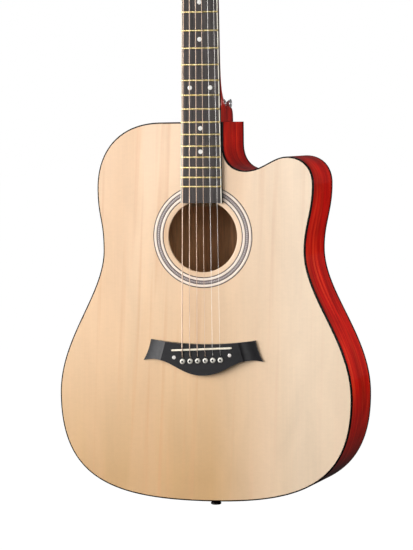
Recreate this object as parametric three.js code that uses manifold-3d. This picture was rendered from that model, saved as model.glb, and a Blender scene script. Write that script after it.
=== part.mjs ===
// Steel-string acoustic guitar with a Venetian cutaway, as an assembly of its separate pieces.
//
// Millimetres, +Z up along the neck. x = 0 is the centre line and +X the treble (cutaway) side.
// y = 0 is the outer face of the soundboard and the top of the neck, and the front faces -Y.
// z = 0 is the front edge of the nut, where the scale length starts.

import * as THREE from 'three';
import { mergeVertices } from 'three/addons/utils/BufferGeometryUtils.js';
import Module from 'manifold-3d';

const wasm = await Module();
wasm.setup();

// ---------------------------------------------------------------- driving dimensions

const SCALE_LENGTH = 650;
const FRET_COUNT = 20;
const BODY_FRET = 14;
const GAP = 0.3;

const BODY_LENGTH = 502;
const DEPTH_AT_NECK = 102;
const DEPTH_AT_TAIL = 110;
const SOUNDBOARD = 2.8;
const BACK = 2.8;
const SIDE = 2.4;
const BINDING_WIDE = 1.8;
const BINDING_DEEP = 5;
const LINING_WIDE = 6;
const LINING_DEEP = 12;

const HOLE_DOWN = 150.5;
const HOLE_RADIUS = 47.35;
const ROSETTE_INNER = 53.9;
const ROSETTE_OUTER = 68.2;
const ROSETTE_DEEP = 1;

const NUT_WIDTH = 44.5;
const NUT_THICK = 5;
const BOARD_FLARE = 0.0262;
const BOARD_THICK = 6.3;
const BOARD_END_DOWN = 106.5;
const BOARD_BINDING = 1.5;
const FRET_WIDE = 2.4;
const FRET_HIGH = 1;

const SHAFT_AT_NUT = 14.7;
const SHAFT_AT_HEEL = 17.2;
const HEEL_DEPTH = 97;
const HEEL_CAP = 3;
const HEEL_HALF_AT_CAP = 14.5;

const HEAD_TILT = THREE.MathUtils.degToRad(14);
const HEAD_LENGTH = 174;
const HEAD_HALF = 37;
const HEAD_FRONT = 1.7;
const HEAD_BACK = 15.5;
const VENEER = 1.4;

const STRING_DIAMETERS = [1.35, 1.07, 0.81, 0.61, 0.41, 0.3];
const PIN_PITCH = 10.45;
const SADDLE_PITCH = 10.36;
const NUT_PITCH = 7.26;
const PIN_DOWN = 314.2;
const SADDLE_DOWN = 299.05;
const SADDLE_LENGTH = 83;
const BRIDGE_SLANT = 0.05;
const BRIDGE_HIGH = 9;
const SADDLE_TOP = 11.5;

const POST_X = 22;
const POST_FIRST = 45;
const POST_PITCH = 35.5;
const GEAR_TEETH = 14;
const GEAR_PITCH_RADIUS = 6;
const WORM_OFFSET = 8.6;
const GEAR_LEVEL = 20.5;

// ---------------------------------------------------------------- derived places

const fretZ = (n) => -SCALE_LENGTH * (1 - 2 ** (-n / 12));
const BODY_TOP = fretZ(BODY_FRET);
const TAIL = BODY_TOP - BODY_LENGTH;
const HOLE_Z = BODY_TOP - HOLE_DOWN;
const BOARD_END = BODY_TOP - BOARD_END_DOWN;
const boardHalf = (z) => (NUT_WIDTH - BOARD_FLARE * z) / 2;
const backY = (z) => DEPTH_AT_NECK + ((DEPTH_AT_TAIL - DEPTH_AT_NECK) * (BODY_TOP - z)) / BODY_LENGTH;
const slantZ = (down, x) => BODY_TOP - down + BRIDGE_SLANT * x;

// ---------------------------------------------------------------- materials

const paint = (color, roughness, metalness = 0) =>
  new THREE.MeshStandardMaterial({ color, roughness, metalness });

const spruce = () => paint(0xecccaa, 0.4);
const barewood = () => paint(0xc9a06a, 0.8);
const cherry = () => paint(0x9c2a20, 0.15);
const blackTrim = () => paint(0x151314, 0.3);
const blackwood = () => paint(0x3a3534, 0.5);
const cream = () => paint(0xe9dfc4, 0.4);
const chrome = () => paint(0xc8c8cc, 0.15, 1);
const goldFret = () => paint(0xc9a860, 0.25, 1);
const bronze = () => paint(0xc08a55, 0.3, 1);
const ivory = () => paint(0xf4f2ea, 0.35);

// ---------------------------------------------------------------- geometry helpers

const guitar = new THREE.Group();
const headstock = new THREE.Group();
headstock.position.set(0, 0, NUT_THICK);
headstock.rotation.x = -HEAD_TILT;
headstock.updateMatrix();
guitar.add(headstock);

function add(name, geometry, material, parent = guitar) {
  const mesh = new THREE.Mesh(geometry, material);
  mesh.name = name;
  parent.add(mesh);
  return mesh;
}

function solid(geometry) {
  const bare = geometry.clone();
  bare.deleteAttribute('normal');
  bare.deleteAttribute('uv');
  const merged = mergeVertices(bare);
  const vertProperties = Float32Array.from(merged.attributes.position.array);
  const triVerts = Uint32Array.from(merged.index.array);
  return new wasm.Manifold(new wasm.Mesh({ numProp: 3, vertProperties, triVerts }));
}

function surface(manifold) {
  const mesh = manifold.getMesh();
  const geometry = new THREE.BufferGeometry();
  geometry.setAttribute('position', new THREE.BufferAttribute(mesh.vertProperties, 3));
  geometry.setIndex(new THREE.BufferAttribute(mesh.triVerts, 1));
  geometry.computeVertexNormals();
  return geometry;
}

const join = (...pieces) => surface(pieces.map(solid).reduce((a, b) => a.add(b)));
const cut = (piece, ...tools) => surface(tools.map(solid).reduce((a, b) => a.subtract(b), solid(piece)));
const common = (a, b) => surface(solid(a).intersect(solid(b)));

// A box given by its two corners.
function block(x0, x1, y0, y1, z0, z1) {
  const box = new THREE.BoxGeometry(x1 - x0, y1 - y0, z1 - z0);
  return box.translate((x0 + x1) / 2, (y0 + y1) / 2, (z0 + z1) / 2);
}

// An outline in x and z, extruded along y from y0 to y1.
function slab(points, y0, y1, holes = []) {
  const shape = new THREE.Shape(points);
  holes.forEach((hole) => shape.holes.push(new THREE.Path(hole)));
  const plate = new THREE.ExtrudeGeometry(shape, { depth: y1 - y0, bevelEnabled: false });
  return plate.rotateX(Math.PI / 2).translate(0, y1, 0);
}

function circle(x, z, radius, count) {
  const corners = Array.from({ length: count }, (_, i) => (2 * Math.PI * (i + 0.5)) / count);
  return corners.map((a) => new THREE.Vector2(x + radius * Math.cos(a), z + radius * Math.sin(a)));
}

// A turned piece about the y axis, given as [radius, y] pairs that start and end on the axis.
function turned(profile, count = 12) {
  const geometry = new THREE.LatheGeometry(profile.map(([r, y]) => new THREE.Vector2(r, y)), count);
  return outward(geometry);
}

function outward(geometry) {
  const bare = geometry.clone();
  bare.deleteAttribute('normal');
  bare.deleteAttribute('uv');
  const merged = mergeVertices(bare);
  const kept = [];
  const corner = [0, 1, 2].map(() => new THREE.Vector3());
  let volume = 0;
  for (let i = 0; i < merged.index.count; i += 3) {
    const ids = [0, 1, 2].map((k) => merged.index.getX(i + k));
    if (new Set(ids).size < 3) continue;
    ids.forEach((id, k) => corner[k].fromBufferAttribute(merged.attributes.position, id));
    volume += corner[0].dot(corner[1].cross(corner[2]));
    kept.push(ids);
  }
  merged.setIndex(kept.flatMap(([a, b, c]) => (volume < 0 ? [a, c, b] : [a, b, c])));
  merged.computeVertexNormals();
  return merged;
}

// A closed skin through equal rings of points, with a fan on each end.
function loft(rings) {
  const count = rings[0].length;
  const points = rings.flat();
  const index = [];
  for (let r = 0; r + 1 < rings.length; r++) {
    for (let i = 0; i < count; i++) {
      const a = r * count + i;
      const b = r * count + ((i + 1) % count);
      index.push(a, b, a + count, b, b + count, a + count);
    }
  }
  [0, rings.length - 1].forEach((r) => {
    const centre = new THREE.Vector3();
    rings[r].forEach((p) => centre.addScaledVector(p, 1 / count));
    const hub = points.push(centre) - 1;
    for (let i = 0; i < count; i++) {
      const a = r * count + i;
      const b = r * count + ((i + 1) % count);
      index.push(...(r === 0 ? [hub, b, a] : [hub, a, b]));
    }
  });
  const geometry = new THREE.BufferGeometry().setFromPoints(points);
  geometry.setIndex(index);
  return outward(geometry);
}

const mirrored = (geometry) => outward(geometry.clone().scale(-1, 1, 1));

// ---------------------------------------------------------------- body outline

// Stations of the outline, running anticlockwise from the neck joint down the bass side. Each one
// has a heading and the reach of its curve handles on the way in and on the way out. A station
// without a heading is a corner, and `steps` is the number of chords on the way to the next one.
const UP = [0, 1];
const DOWN = [0, -1];
const LEFT = [-1, 0];
const RIGHT = [1, 0];
const STATIONS = [
  { at: [0, 0], heading: LEFT, steps: 1 },
  { at: [-56, 0], heading: LEFT, out: 57, steps: 8 },
  { at: [-146, -88], heading: DOWN, in: 53, out: 38, steps: 4 },
  { at: [-138.3, -168.5], heading: DOWN, in: 41, out: 60, steps: 7 },
  { at: [-201.3, -362], heading: DOWN, in: 76, out: 114, steps: 11 },
  { at: [0, -BODY_LENGTH], heading: RIGHT, in: 131, out: 131, steps: 11 },
  { at: [201.3, -362], heading: UP, in: 114, out: 76, steps: 7 },
  { at: [139.3, -170], heading: UP, in: 60, out: 34, steps: 4 },
  { at: [151.1, -82], heading: UP, in: 37, out: 23, steps: 6 },
  { at: [115.7, -45.7], heading: LEFT, in: 20, out: 20, steps: 5 },
  { at: [59.5, -63.9], heading: LEFT, in: 23, out: 19, steps: 6 },
  { at: [28.5, -29.5], heading: UP, in: 22, steps: 1 },
  { at: [28.5, 0], heading: LEFT, steps: 1 },
];

function bodyOutline() {
  return STATIONS.flatMap((from, i) => {
    const to = STATIONS[(i + 1) % STATIONS.length];
    const start = new THREE.Vector2(...from.at);
    const end = new THREE.Vector2(...to.at);
    const out = new THREE.Vector2(...from.heading).multiplyScalar(from.out ?? 0).add(start);
    const back = new THREE.Vector2(...to.heading).multiplyScalar(-(to.in ?? 0)).add(end);
    const curve = new THREE.CubicBezierCurve(start, out, back, end);
    return curve.getPoints(from.steps).slice(0, -1);
  }).map((p) => new THREE.Vector2(p.x, p.y + BODY_TOP));
}

const OUTLINE = bodyOutline();
const TAIL_INDEX = OUTLINE.findIndex((p) => Math.abs(p.x) < 1e-6 && p.y < HOLE_Z);

// The outline moved inwards by a distance, corner by corner.
function inset(distance) {
  return OUTLINE.map((p, i) => {
    const before = p.clone().sub(OUTLINE.at(i - 1)).normalize();
    const after = OUTLINE[(i + 1) % OUTLINE.length].clone().sub(p).normalize();
    const normal = new THREE.Vector2(-before.y - after.y, before.x + after.x).normalize();
    const stretch = normal.dot(new THREE.Vector2(-after.y, after.x));
    return p.clone().addScaledVector(normal, distance / stretch);
  });
}

const ring = (outer, inner, y0, y1) => slab(inset(outer), y0, y1, [inset(inner).reverse()]);

// The back slopes away from the soundboard, so everything behind mid-depth follows it.
function sloped(geometry) {
  const place = geometry.attributes.position;
  for (let i = 0; i < place.count; i++) {
    if (place.getY(i) < DEPTH_AT_NECK / 2) continue;
    place.setY(i, place.getY(i) + backY(place.getZ(i)) - DEPTH_AT_NECK);
  }
  geometry.computeVertexNormals();
  return geometry;
}

// ---------------------------------------------------------------- bridge pin places

const STRINGS = STRING_DIAMETERS.map((diameter, i) => {
  const place = i - (STRING_DIAMETERS.length - 1) / 2;
  const pinX = place * PIN_PITCH;
  const saddleX = place * SADDLE_PITCH;
  return {
    number: STRING_DIAMETERS.length - i,
    diameter,
    pinX,
    pinZ: slantZ(PIN_DOWN, pinX),
    saddleX,
    saddleZ: slantZ(SADDLE_DOWN, saddleX),
    nutX: place * NUT_PITCH,
  };
});

const PIN_HOLE = 3.1;
const STRING_BESIDE_PIN = 4.9;

// Hole for a pin, with the slot beside it that lets the string down past the pin.
function pinHole({ pinX, pinZ }, y0, y1) {
  const bore = slab(circle(pinX, pinZ, PIN_HOLE, 10), y0, y1);
  const slot = block(pinX - 1.1, pinX + 1.1, y0, y1, pinZ, pinZ + STRING_BESIDE_PIN + 1.2);
  return join(bore, slot);
}

// ---------------------------------------------------------------- body shell

const TENON_HALF = 9;
const TENON_FRONT = 16;
const TENON_BACK = 78;
const TENON_LONG = 15;
const BLOCK_LONG = 50;
const END_PIN_Y = 52;
const END_PIN_HOLE = 5.2;

const tenon = (gap) =>
  block(-TENON_HALF - gap, TENON_HALF + gap, TENON_FRONT - gap, TENON_BACK + gap,
    BODY_TOP - TENON_LONG - gap, BODY_TOP + 1);

function endPinBore() {
  const bore = turned([[0, 0], [END_PIN_HOLE, 0], [END_PIN_HOLE, 60], [0, 60]]);
  return bore.rotateX(Math.PI / 2).translate(0, END_PIN_Y, TAIL - 10);
}

function buildShell() {
  const lift = BACK + GAP;
  const soundhole = circle(0, HOLE_Z, HOLE_RADIUS, 32);
  const plate = slab(inset(BINDING_WIDE + 0.1), 0, SOUNDBOARD, [soundhole]);
  const channel = slab(circle(0, HOLE_Z, ROSETTE_OUTER + GAP, 36), -1, ROSETTE_DEEP + GAP,
    [circle(0, HOLE_Z, ROSETTE_INNER - GAP, 36)]);
  const pinHoles = STRINGS.map((string) => pinHole(string, -1, SOUNDBOARD + 1));
  add('soundboard', cut(plate, channel, ...pinHoles), spruce());
  const inlay = slab(circle(0, HOLE_Z, ROSETTE_OUTER, 36), 0, ROSETTE_DEEP,
    [circle(0, HOLE_Z, ROSETTE_INNER, 36)]);
  add('rosette', inlay, paint(0x8d8378, 0.4));

  add('back', sloped(slab(inset(BINDING_WIDE + 0.1), DEPTH_AT_NECK - BACK, DEPTH_AT_NECK)), cherry());
  add('top_binding', ring(0, BINDING_WIDE, 0, BINDING_DEEP), blackTrim());
  const backEdge = DEPTH_AT_NECK - BINDING_DEEP;
  add('back_binding', sloped(ring(0, BINDING_WIDE, backEdge, DEPTH_AT_NECK)), blackTrim());

  const outer = inset(0);
  const inner = inset(SIDE);
  const halves = {
    side_bass: [outer.slice(0, TAIL_INDEX + 1), inner.slice(0, TAIL_INDEX + 1)],
    side_treble: [
      [...outer.slice(TAIL_INDEX), outer[0]],
      [...inner.slice(TAIL_INDEX), inner[0]],
    ],
  };
  Object.entries(halves).forEach(([name, [outside, inside]]) => {
    const wall = slab([...outside, ...inside.reverse()], BINDING_DEEP, backEdge - GAP);
    add(name, cut(sloped(wall), tenon(GAP), endPinBore()), cherry());
  });

  const blockTop = BODY_TOP - SIDE;
  const blockBack = DEPTH_AT_NECK - lift;
  const neckBlock = sloped(block(-30, 25.8, SOUNDBOARD, blockBack, blockTop - BLOCK_LONG, blockTop));
  add('neck_block', cut(neckBlock, tenon(GAP)), barewood());

  const liningInner = SIDE + 0.1 + LINING_WIDE;
  const around = block(-30 - GAP, 25.8 + GAP, -5, DEPTH_AT_TAIL + 5,
    blockTop - BLOCK_LONG - GAP, blockTop + 1);
  const front = ring(SIDE + 0.1, liningInner, SOUNDBOARD, SOUNDBOARD + LINING_DEEP);
  add('top_lining', cut(front, around), barewood());
  const rear = sloped(ring(SIDE + 0.1, liningInner, blockBack - LINING_DEEP, blockBack));
  add('back_lining', cut(rear, around), barewood());

  const tailFront = SOUNDBOARD + LINING_DEEP + GAP;
  const tailBack = blockBack - LINING_DEEP - GAP;
  const tailBox = block(-35, 35, tailFront, tailBack, TAIL, TAIL + 24);
  const inside = slab(inset(SIDE + GAP), tailFront - 1, tailBack + 1);
  add('tail_block', cut(sloped(common(tailBox, inside)), endPinBore()), barewood());

  const pin = turned([
    [0, -11], [6.2, -11], [7.2, -9.4], [6.6, -8], [4.8, -5.5], [6, -1.5], [6, -GAP],
    [4.7, -GAP], [4.1, 24], [0, 24],
  ], 12);
  add('end_pin', pin.rotateX(Math.PI / 2).translate(0, END_PIN_Y, TAIL), blackTrim());
}

// ---------------------------------------------------------------- bracing

// A bar glued flat on a plate from one end to the other, with its ends carved down.
function bar([x0, z0], [x1, z1], width, height, carve = 30) {
  const length = Math.hypot(x1 - x0, z1 - z0);
  const shape = new THREE.Shape([
    new THREE.Vector2(0, 0), new THREE.Vector2(length, 0), new THREE.Vector2(length, 2.5),
    new THREE.Vector2(length - carve, height), new THREE.Vector2(carve, height),
    new THREE.Vector2(0, 2.5),
  ]);
  const side = new THREE.ExtrudeGeometry(shape, { depth: width, bevelEnabled: false });
  side.translate(0, 0, -width / 2);
  return side.rotateY(-Math.atan2(z1 - z0, x1 - x0)).translate(x0, 0, z0);
}

const X_BRACE_WIDE = 7;
const X_BRACE_HIGH = 15;
const X_BRACE_LAP = 7.2;

function buildBracing() {
  const under = (geometry) => geometry.translate(0, SOUNDBOARD, 0);
  const at = (x, down) => [x, BODY_TOP - down];
  // One of the two crossing braces. side 1 runs from the bass shoulder to the treble lower bout.
  const arm = (side, extra, height, carve) =>
    bar(at(-side * 103, 127), at(side * 163, 398), X_BRACE_WIDE + extra, height, carve);
  const aboveLap = arm(-1, 2 * GAP, X_BRACE_HIGH).translate(0, X_BRACE_LAP, 0);
  const belowLap = arm(1, 2 * GAP, X_BRACE_LAP + GAP, 1);
  add('x_brace_a', cut(under(arm(1, 0, X_BRACE_HIGH)), under(aboveLap)), barewood());
  add('x_brace_b', cut(under(arm(-1, 0, X_BRACE_HIGH)), under(belowLap)), barewood());
  add('upper_brace', under(bar(at(-130, 84), at(131, 84), 11, 13)), barewood());
  add('tone_bar_upper', under(bar(at(-88, 352), at(112, 404), 7, 12)), barewood());
  add('tone_bar_lower', under(bar(at(-92, 396), at(84, 446), 7, 10)), barewood());

  const plate = [at(-38, 288), at(-66, 322), at(66, 322), at(38, 288)].map((p) => new THREE.Vector2(...p));
  const bridgePlate = slab(plate, SOUNDBOARD, SOUNDBOARD + 2.6);
  const holes = STRINGS.map((string) => pinHole(string, 0, SOUNDBOARD + 4));
  add('bridge_plate', cut(bridgePlate, ...holes), paint(0xb98a55, 0.8));

  const backBars = [[120, 110], [122, 225], [176, 345]];
  backBars.forEach(([half, down], i) => {
    const rib = bar(at(-half, down), at(half, down), 8, 14);
    rib.scale(1, -1, 1).translate(0, DEPTH_AT_NECK - BACK - GAP, 0);
    add(`back_brace_${i + 1}`, sloped(outward(rib)), barewood());
  });
}

// ---------------------------------------------------------------- neck

// How far the heel stands off the body at a depth behind the neck's top.
const heelReach = (y) => 22 + 0.1 * (HEEL_DEPTH - y) + 50 * Math.exp((SHAFT_AT_HEEL - y) / 15);
const heelHalf = (y, z) =>
  THREE.MathUtils.lerp(boardHalf(z), HEEL_HALF_AT_CAP, Math.min(1, Math.max(0, y / HEEL_DEPTH)));

// Half the neck's width at depth y, in a section whose ridge lies at depth `ridge`.
function neckHalf(y, ridge, z) {
  const fullness = 2.1 + 0.9 * Math.min(1, Math.max(0, (ridge - SHAFT_AT_HEEL) / 30));
  const half = Math.max(0, 1 - (y / ridge) ** fullness) ** (1 / fullness);
  return Math.max(0.4, heelHalf(y, z) * half);
}

function neckSection(z, ridge) {
  const levels = [0, 0.2, 0.4, 0.58, 0.74, 0.87, 0.96, 1];
  const side = levels.map((s) => {
    const y = s * Math.min(ridge, HEEL_DEPTH);
    return new THREE.Vector3(neckHalf(y, ridge, z), y, z);
  });
  const other = side.map((p) => new THREE.Vector3(-p.x, p.y, p.z)).reverse();
  return [...side, ...other];
}

function neckBody() {
  const heelStart = BODY_TOP + heelReach(SHAFT_AT_HEEL);
  const shaft = [NUT_THICK, -60, -130, -210].map((z) => {
    const along = (NUT_THICK - z) / (NUT_THICK - heelStart);
    return neckSection(z, THREE.MathUtils.lerp(SHAFT_AT_NUT, SHAFT_AT_HEEL, along));
  });
  const ridges = [SHAFT_AT_HEEL, 19, 22, 27, 35, 48, 66, HEEL_DEPTH, 130, 190];
  const heel = ridges.map((ridge) => neckSection(BODY_TOP + heelReach(ridge), ridge));
  const foot = neckSection(BODY_TOP, HEEL_DEPTH + 22 / 0.1);
  return loft([...shaft, ...heel, foot]);
}

const vector = ([x, y]) => new THREE.Vector2(x, y);

function headOutline(start) {
  const edge = new THREE.Path();
  edge.moveTo(NUT_WIDTH / 2, start);
  edge.lineTo(NUT_WIDTH / 2, Math.max(start, 1));
  edge.bezierCurveTo(NUT_WIDTH / 2, 14, 33.2, 12, 33.6, 30);
  edge.lineTo(HEAD_HALF, HEAD_LENGTH - 16);
  edge.bezierCurveTo(HEAD_HALF, HEAD_LENGTH - 5, 20, HEAD_LENGTH, 0, HEAD_LENGTH);
  const right = edge.getPoints(6).filter((p, i, all) => i === 0 || p.distanceTo(all[i - 1]) > 1e-6);
  const left = right.slice(0, -1).map((p) => new THREE.Vector2(-p.x, p.y)).reverse();
  return [...right, ...left];
}

const POSTS = [0, 1, 2].map((i) => POST_FIRST + i * POST_PITCH);
const postHoles = (y0, y1) =>
  [-POST_X, POST_X].flatMap((x) => POSTS.map((s) => slab(circle(x, s, 4, 8), y0, y1)));

const ROD_Y = 7;
const BUTTON_SEAT = 17.6;
const BUTTON_Y = 42;
const BUTTON_UP = 24.4;

function buildNeck() {
  const tilt = (geometry) => geometry.applyMatrix4(headstock.matrix);
  const head = tilt(slab(headOutline(-6), HEAD_FRONT, HEAD_BACK));
  const holes = postHoles(HEAD_FRONT - 2, HEAD_BACK + 2).map(tilt);
  const channel = block(-3.2, 3.2, -1, ROD_Y + 3.2, BODY_TOP + 6, NUT_THICK + 1);
  const pocket = block(-5.5, 5.5, -5, ROD_Y + 4.5, NUT_THICK + 0.6, NUT_THICK + 34);
  const seat = turned([[0, 0], [6.6, 0], [6.6, 20], [0, 20]], 16).rotateZ(-Math.PI / 2);
  seat.translate(BUTTON_SEAT, BUTTON_Y, BODY_TOP + BUTTON_UP);
  const screwHole = turned([[0, -15], [2.6, -15], [2.6, 1], [0, 1]], 8).rotateZ(-Math.PI / 2);
  screwHole.translate(BUTTON_SEAT, BUTTON_Y, BODY_TOP + BUTTON_UP);
  const whole = join(neckBody(), head, tenon(0));
  add('neck', cut(whole, ...holes, channel, pocket, seat, screwHole), cherry());

  const capEdge = neckCapOutline();
  add('heel_cap', slab(capEdge, HEEL_DEPTH, HEEL_DEPTH + HEEL_CAP), blackTrim());

  const facing = slab(headOutline(0.8), 0, VENEER);
  const opening = block(-5.5, 5.5, -1, 3, 4, 36);
  add('headstock_veneer', cut(facing, ...postHoles(-1, 3), opening), blackwood(), headstock);

  const coverShape = new THREE.Shape();
  coverShape.moveTo(-6.5, 2);
  coverShape.lineTo(6.5, 2);
  coverShape.bezierCurveTo(10, 14, 9.5, 26, 7, 34);
  coverShape.quadraticCurveTo(5, 44, 0, 46);
  coverShape.quadraticCurveTo(-5, 44, -7, 34);
  coverShape.bezierCurveTo(-9.5, 26, -10, 14, -6.5, 2);
  const cover = slab(coverShape.getPoints(5).slice(0, -1), -1.5 - GAP, -GAP);
  add('truss_rod_cover', cover, blackTrim(), headstock);

  const bolt = turned([
    [0, BODY_TOP + 9], [2.5, BODY_TOP + 9], [2.5, 7], [3.8, 7], [3.8, 16], [0, 16],
  ], 6);
  add('truss_rod', bolt.rotateX(Math.PI / 2).translate(0, ROD_Y, 0), paint(0x8a8a8e, 0.3, 1));

  const button = turned([
    [0, -12], [1.9, -12], [1.9, GAP], [5.6, GAP], [5.4, 2.4], [3.3, 4.4], [3.6, 7.4],
    [5.8, 9.4], [5.6, 11], [0, 11.6],
  ], 12);
  button.rotateZ(-Math.PI / 2).translate(BUTTON_SEAT, BUTTON_Y, BODY_TOP + BUTTON_UP);
  add('strap_button', button, chrome());
}

// The heel's outline where it meets its cap.
function neckCapOutline() {
  const ridges = [HEEL_DEPTH, 104, 118, 145, 200, HEEL_DEPTH + 22 / 0.1];
  const right = ridges.map((ridge, i) => {
    const z = i === ridges.length - 1 ? BODY_TOP : BODY_TOP + heelReach(ridge);
    return new THREE.Vector2(neckHalf(HEEL_DEPTH, ridge, z), z);
  });
  const left = right.map((p) => new THREE.Vector2(-p.x, p.y)).reverse();
  return [...right, ...left];
}

// ---------------------------------------------------------------- fretboard and nut

function buildFretboard() {
  const strip = (x0, x1) => [vector([x0(0), 0]), vector([x0(BOARD_END), BOARD_END]),
    vector([x1(BOARD_END), BOARD_END]), vector([x1(0), 0])];
  const inner = (z) => boardHalf(z) - BOARD_BINDING - 0.2;
  const frets = Array.from({ length: FRET_COUNT }, (_, i) => fretZ(i + 1));
  const board = slab(strip((z) => -inner(z), inner), -BOARD_THICK, 0);
  const spineTop = fretZ(1) + 2;
  const spineEnd = fretZ(FRET_COUNT) - 2;
  const groove = block(-1.1, 1.1, -2, 1, spineEnd - GAP, spineTop + GAP);
  const slots = frets.map((z) => block(-1, 1, -BOARD_THICK - 1, -1.5, z - 0.7, z + 0.7));
  add('fretboard', cut(board, groove, ...slots), blackwood());

  const outerEdge = (side) => slab(strip(
    (z) => side * (boardHalf(z) - BOARD_BINDING),
    (z) => side * boardHalf(z),
  ), -BOARD_THICK, 0);
  add('fretboard_binding_bass', outward(outerEdge(-1)), cream());
  add('fretboard_binding_treble', outward(outerEdge(1)), cream());

  const crown = (z) => {
    const half = FRET_WIDE / 2;
    const section = new THREE.Shape([
      [-half, 0], [half, 0], [half * 0.4, FRET_HIGH], [-half * 0.4, FRET_HIGH],
    ].map(vector));
    const length = 2 * boardHalf(z) - 0.6;
    const wire = new THREE.ExtrudeGeometry(section, { depth: length, bevelEnabled: false });
    return wire.translate(0, 0, -length / 2).rotateY(Math.PI / 2).rotateX(Math.PI)
      .translate(0, -BOARD_THICK, z);
  };
  const spine = block(-0.8, 0.8, -1.6, -0.4, spineEnd, spineTop);
  const tangs = frets.map((z) => block(-0.6, 0.6, -BOARD_THICK - 0.2, -1, z - 0.35, z + 0.35));
  add('frets', join(spine, ...tangs, ...frets.map(crown)), goldFret());

  const half = NUT_WIDTH / 2;
  const nut = block(-half, half, -9, 0, 0, NUT_THICK);
  const nutSlots = STRINGS.map(({ nutX, diameter }) => {
    const wide = diameter / 2 + GAP;
    return block(nutX - wide, nutX + wide, -10, -7.6, -1, NUT_THICK + 1);
  });
  add('nut', cut(nut, ...nutSlots), cream());
}

// ---------------------------------------------------------------- bridge

function bridgeOutline() {
  const edge = new THREE.Path();
  edge.moveTo(0, -292.7);
  edge.quadraticCurveTo(36, -292.7, 72, -287);
  edge.quadraticCurveTo(75, -303, 82.5, -315);
  edge.quadraticCurveTo(70, -311.5, 55, -315);
  edge.bezierCurveTo(38, -319.5, 24, -334.2, 0, -334.2);
  const right = edge.getPoints(5).filter((p, i, all) => i === 0 || p.distanceTo(all[i - 1]) > 1e-6);
  const left = right.slice(1, -1).map((p) => new THREE.Vector2(-p.x, p.y)).reverse();
  return [...right, ...left].map((p) => new THREE.Vector2(p.x, p.y + BODY_TOP)).reverse();
}

function buildBridge() {
  const footprint = slab(bridgeOutline(), -BRIDGE_HIGH - 1, 0);
  const profile = new THREE.Shape();
  profile.moveTo(-90, 0);
  profile.lineTo(90, 0);
  profile.lineTo(90, 2.8);
  profile.lineTo(72, 3.2);
  profile.quadraticCurveTo(58, 4, 50, BRIDGE_HIGH);
  profile.lineTo(-50, BRIDGE_HIGH);
  profile.quadraticCurveTo(-58, 4, -72, 3.2);
  profile.lineTo(-90, 2.8);
  const heights = new THREE.ExtrudeGeometry(profile, { depth: 70, curveSegments: 5, bevelEnabled: false });
  heights.rotateX(Math.PI).translate(0, 0, BODY_TOP - 275);
  const blade = (wide, long, y0, y1) => {
    const piece = block(-long / 2, long / 2, y0, y1, -wide / 2, wide / 2);
    return piece.rotateY(-Math.atan(BRIDGE_SLANT)).translate(0, 0, BODY_TOP - SADDLE_DOWN);
  };
  const holes = STRINGS.map((string) => pinHole(string, -BRIDGE_HIGH - 2, 1));
  const slot = blade(3.2, SADDLE_LENGTH + 0.6, -BRIDGE_HIGH - 2, -4);
  add('bridge', cut(common(footprint, heights), slot, ...holes), blackTrim());
  add('saddle', blade(2.6, SADDLE_LENGTH, -SADDLE_TOP, -4 - GAP), cream());
  STRINGS.forEach(({ number, pinX, pinZ }) => {
    const seat = -BRIDGE_HIGH - GAP;
    const pin = turned([
      [0, seat - 3.4], [2.2, seat - 3.1], [3.6, seat - 1.6], [3.6, seat], [2.5, seat],
      [2.1, 9], [0, 11],
    ], 8);
    add(`bridge_pin_${number}`, pin.translate(pinX, 0, pinZ), ivory());
  });
}

// ---------------------------------------------------------------- strings

// A route whose points are exactly the given ones, straight from each to the next.
class Route extends THREE.Curve {
  constructor(points) {
    super();
    this.points = points;
  }

  getPointAt(u) {
    return this.points[Math.round(u * (this.points.length - 1))].clone();
  }

  getTangentAt(u) {
    const i = Math.round(u * (this.points.length - 1));
    const before = this.points[Math.max(0, i - 1)];
    const after = this.points[Math.min(this.points.length - 1, i + 1)];
    return after.clone().sub(before).normalize();
  }
}

const COIL_TURNS = 2;
const COIL_CHORDS = 8;

// The turns of a string round its tuning post, in the headstock's frame, from the inner side on.
function coil(side, postS, diameter) {
  const radius = 3.7 + diameter / 2;
  return Array.from({ length: COIL_TURNS * COIL_CHORDS + 1 }, (_, i) => {
    const turn = i / COIL_CHORDS;
    const angle = 2 * Math.PI * turn;
    const x = side * POST_X - side * radius * Math.cos(angle);
    const level = -8 + (diameter + 0.25) * turn;
    return new THREE.Vector3(x, level, postS + radius * Math.sin(angle));
  });
}

function buildStrings() {
  STRINGS.forEach(({ number, diameter, pinX, pinZ, saddleX, saddleZ, nutX }, i) => {
    const radius = diameter / 2;
    const side = i < 3 ? -1 : 1;
    const postS = side < 0 ? POSTS[i] : POSTS[5 - i];
    const downZ = pinZ + STRING_BESIDE_PIN;
    const overSaddle = -SADDLE_TOP - GAP - radius;
    const turns = coil(side, postS, diameter).map((p) => p.applyMatrix4(headstock.matrix));
    const points = [
      new THREE.Vector3(pinX, 8, downZ),
      new THREE.Vector3(pinX, -BRIDGE_HIGH + 1, downZ),
      new THREE.Vector3(pinX, -BRIDGE_HIGH - 0.5 - radius, downZ + 0.8),
      new THREE.Vector3(saddleX, overSaddle, saddleZ - 1),
      new THREE.Vector3(saddleX, overSaddle, saddleZ + 0.5),
      new THREE.Vector3(nutX, -7.9 - radius, 0.5),
      new THREE.Vector3(nutX, -7.9 - radius, NUT_THICK - 0.5),
      ...turns,
    ];
    const section = new THREE.Shape(circle(0, 0, radius, 6));
    const line = new THREE.ExtrudeGeometry(section, {
      steps: points.length - 1, bevelEnabled: false, extrudePath: new Route(points),
    });
    const ball = turned([[0, 6.2], [1.9, 6.2], [1.9, 9.4], [0, 9.4]], 8).translate(pinX, 0, downZ);
    add(`string_${number}`, join(outward(line), ball), bronze());
  });
}

// ---------------------------------------------------------------- tuners

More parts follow.
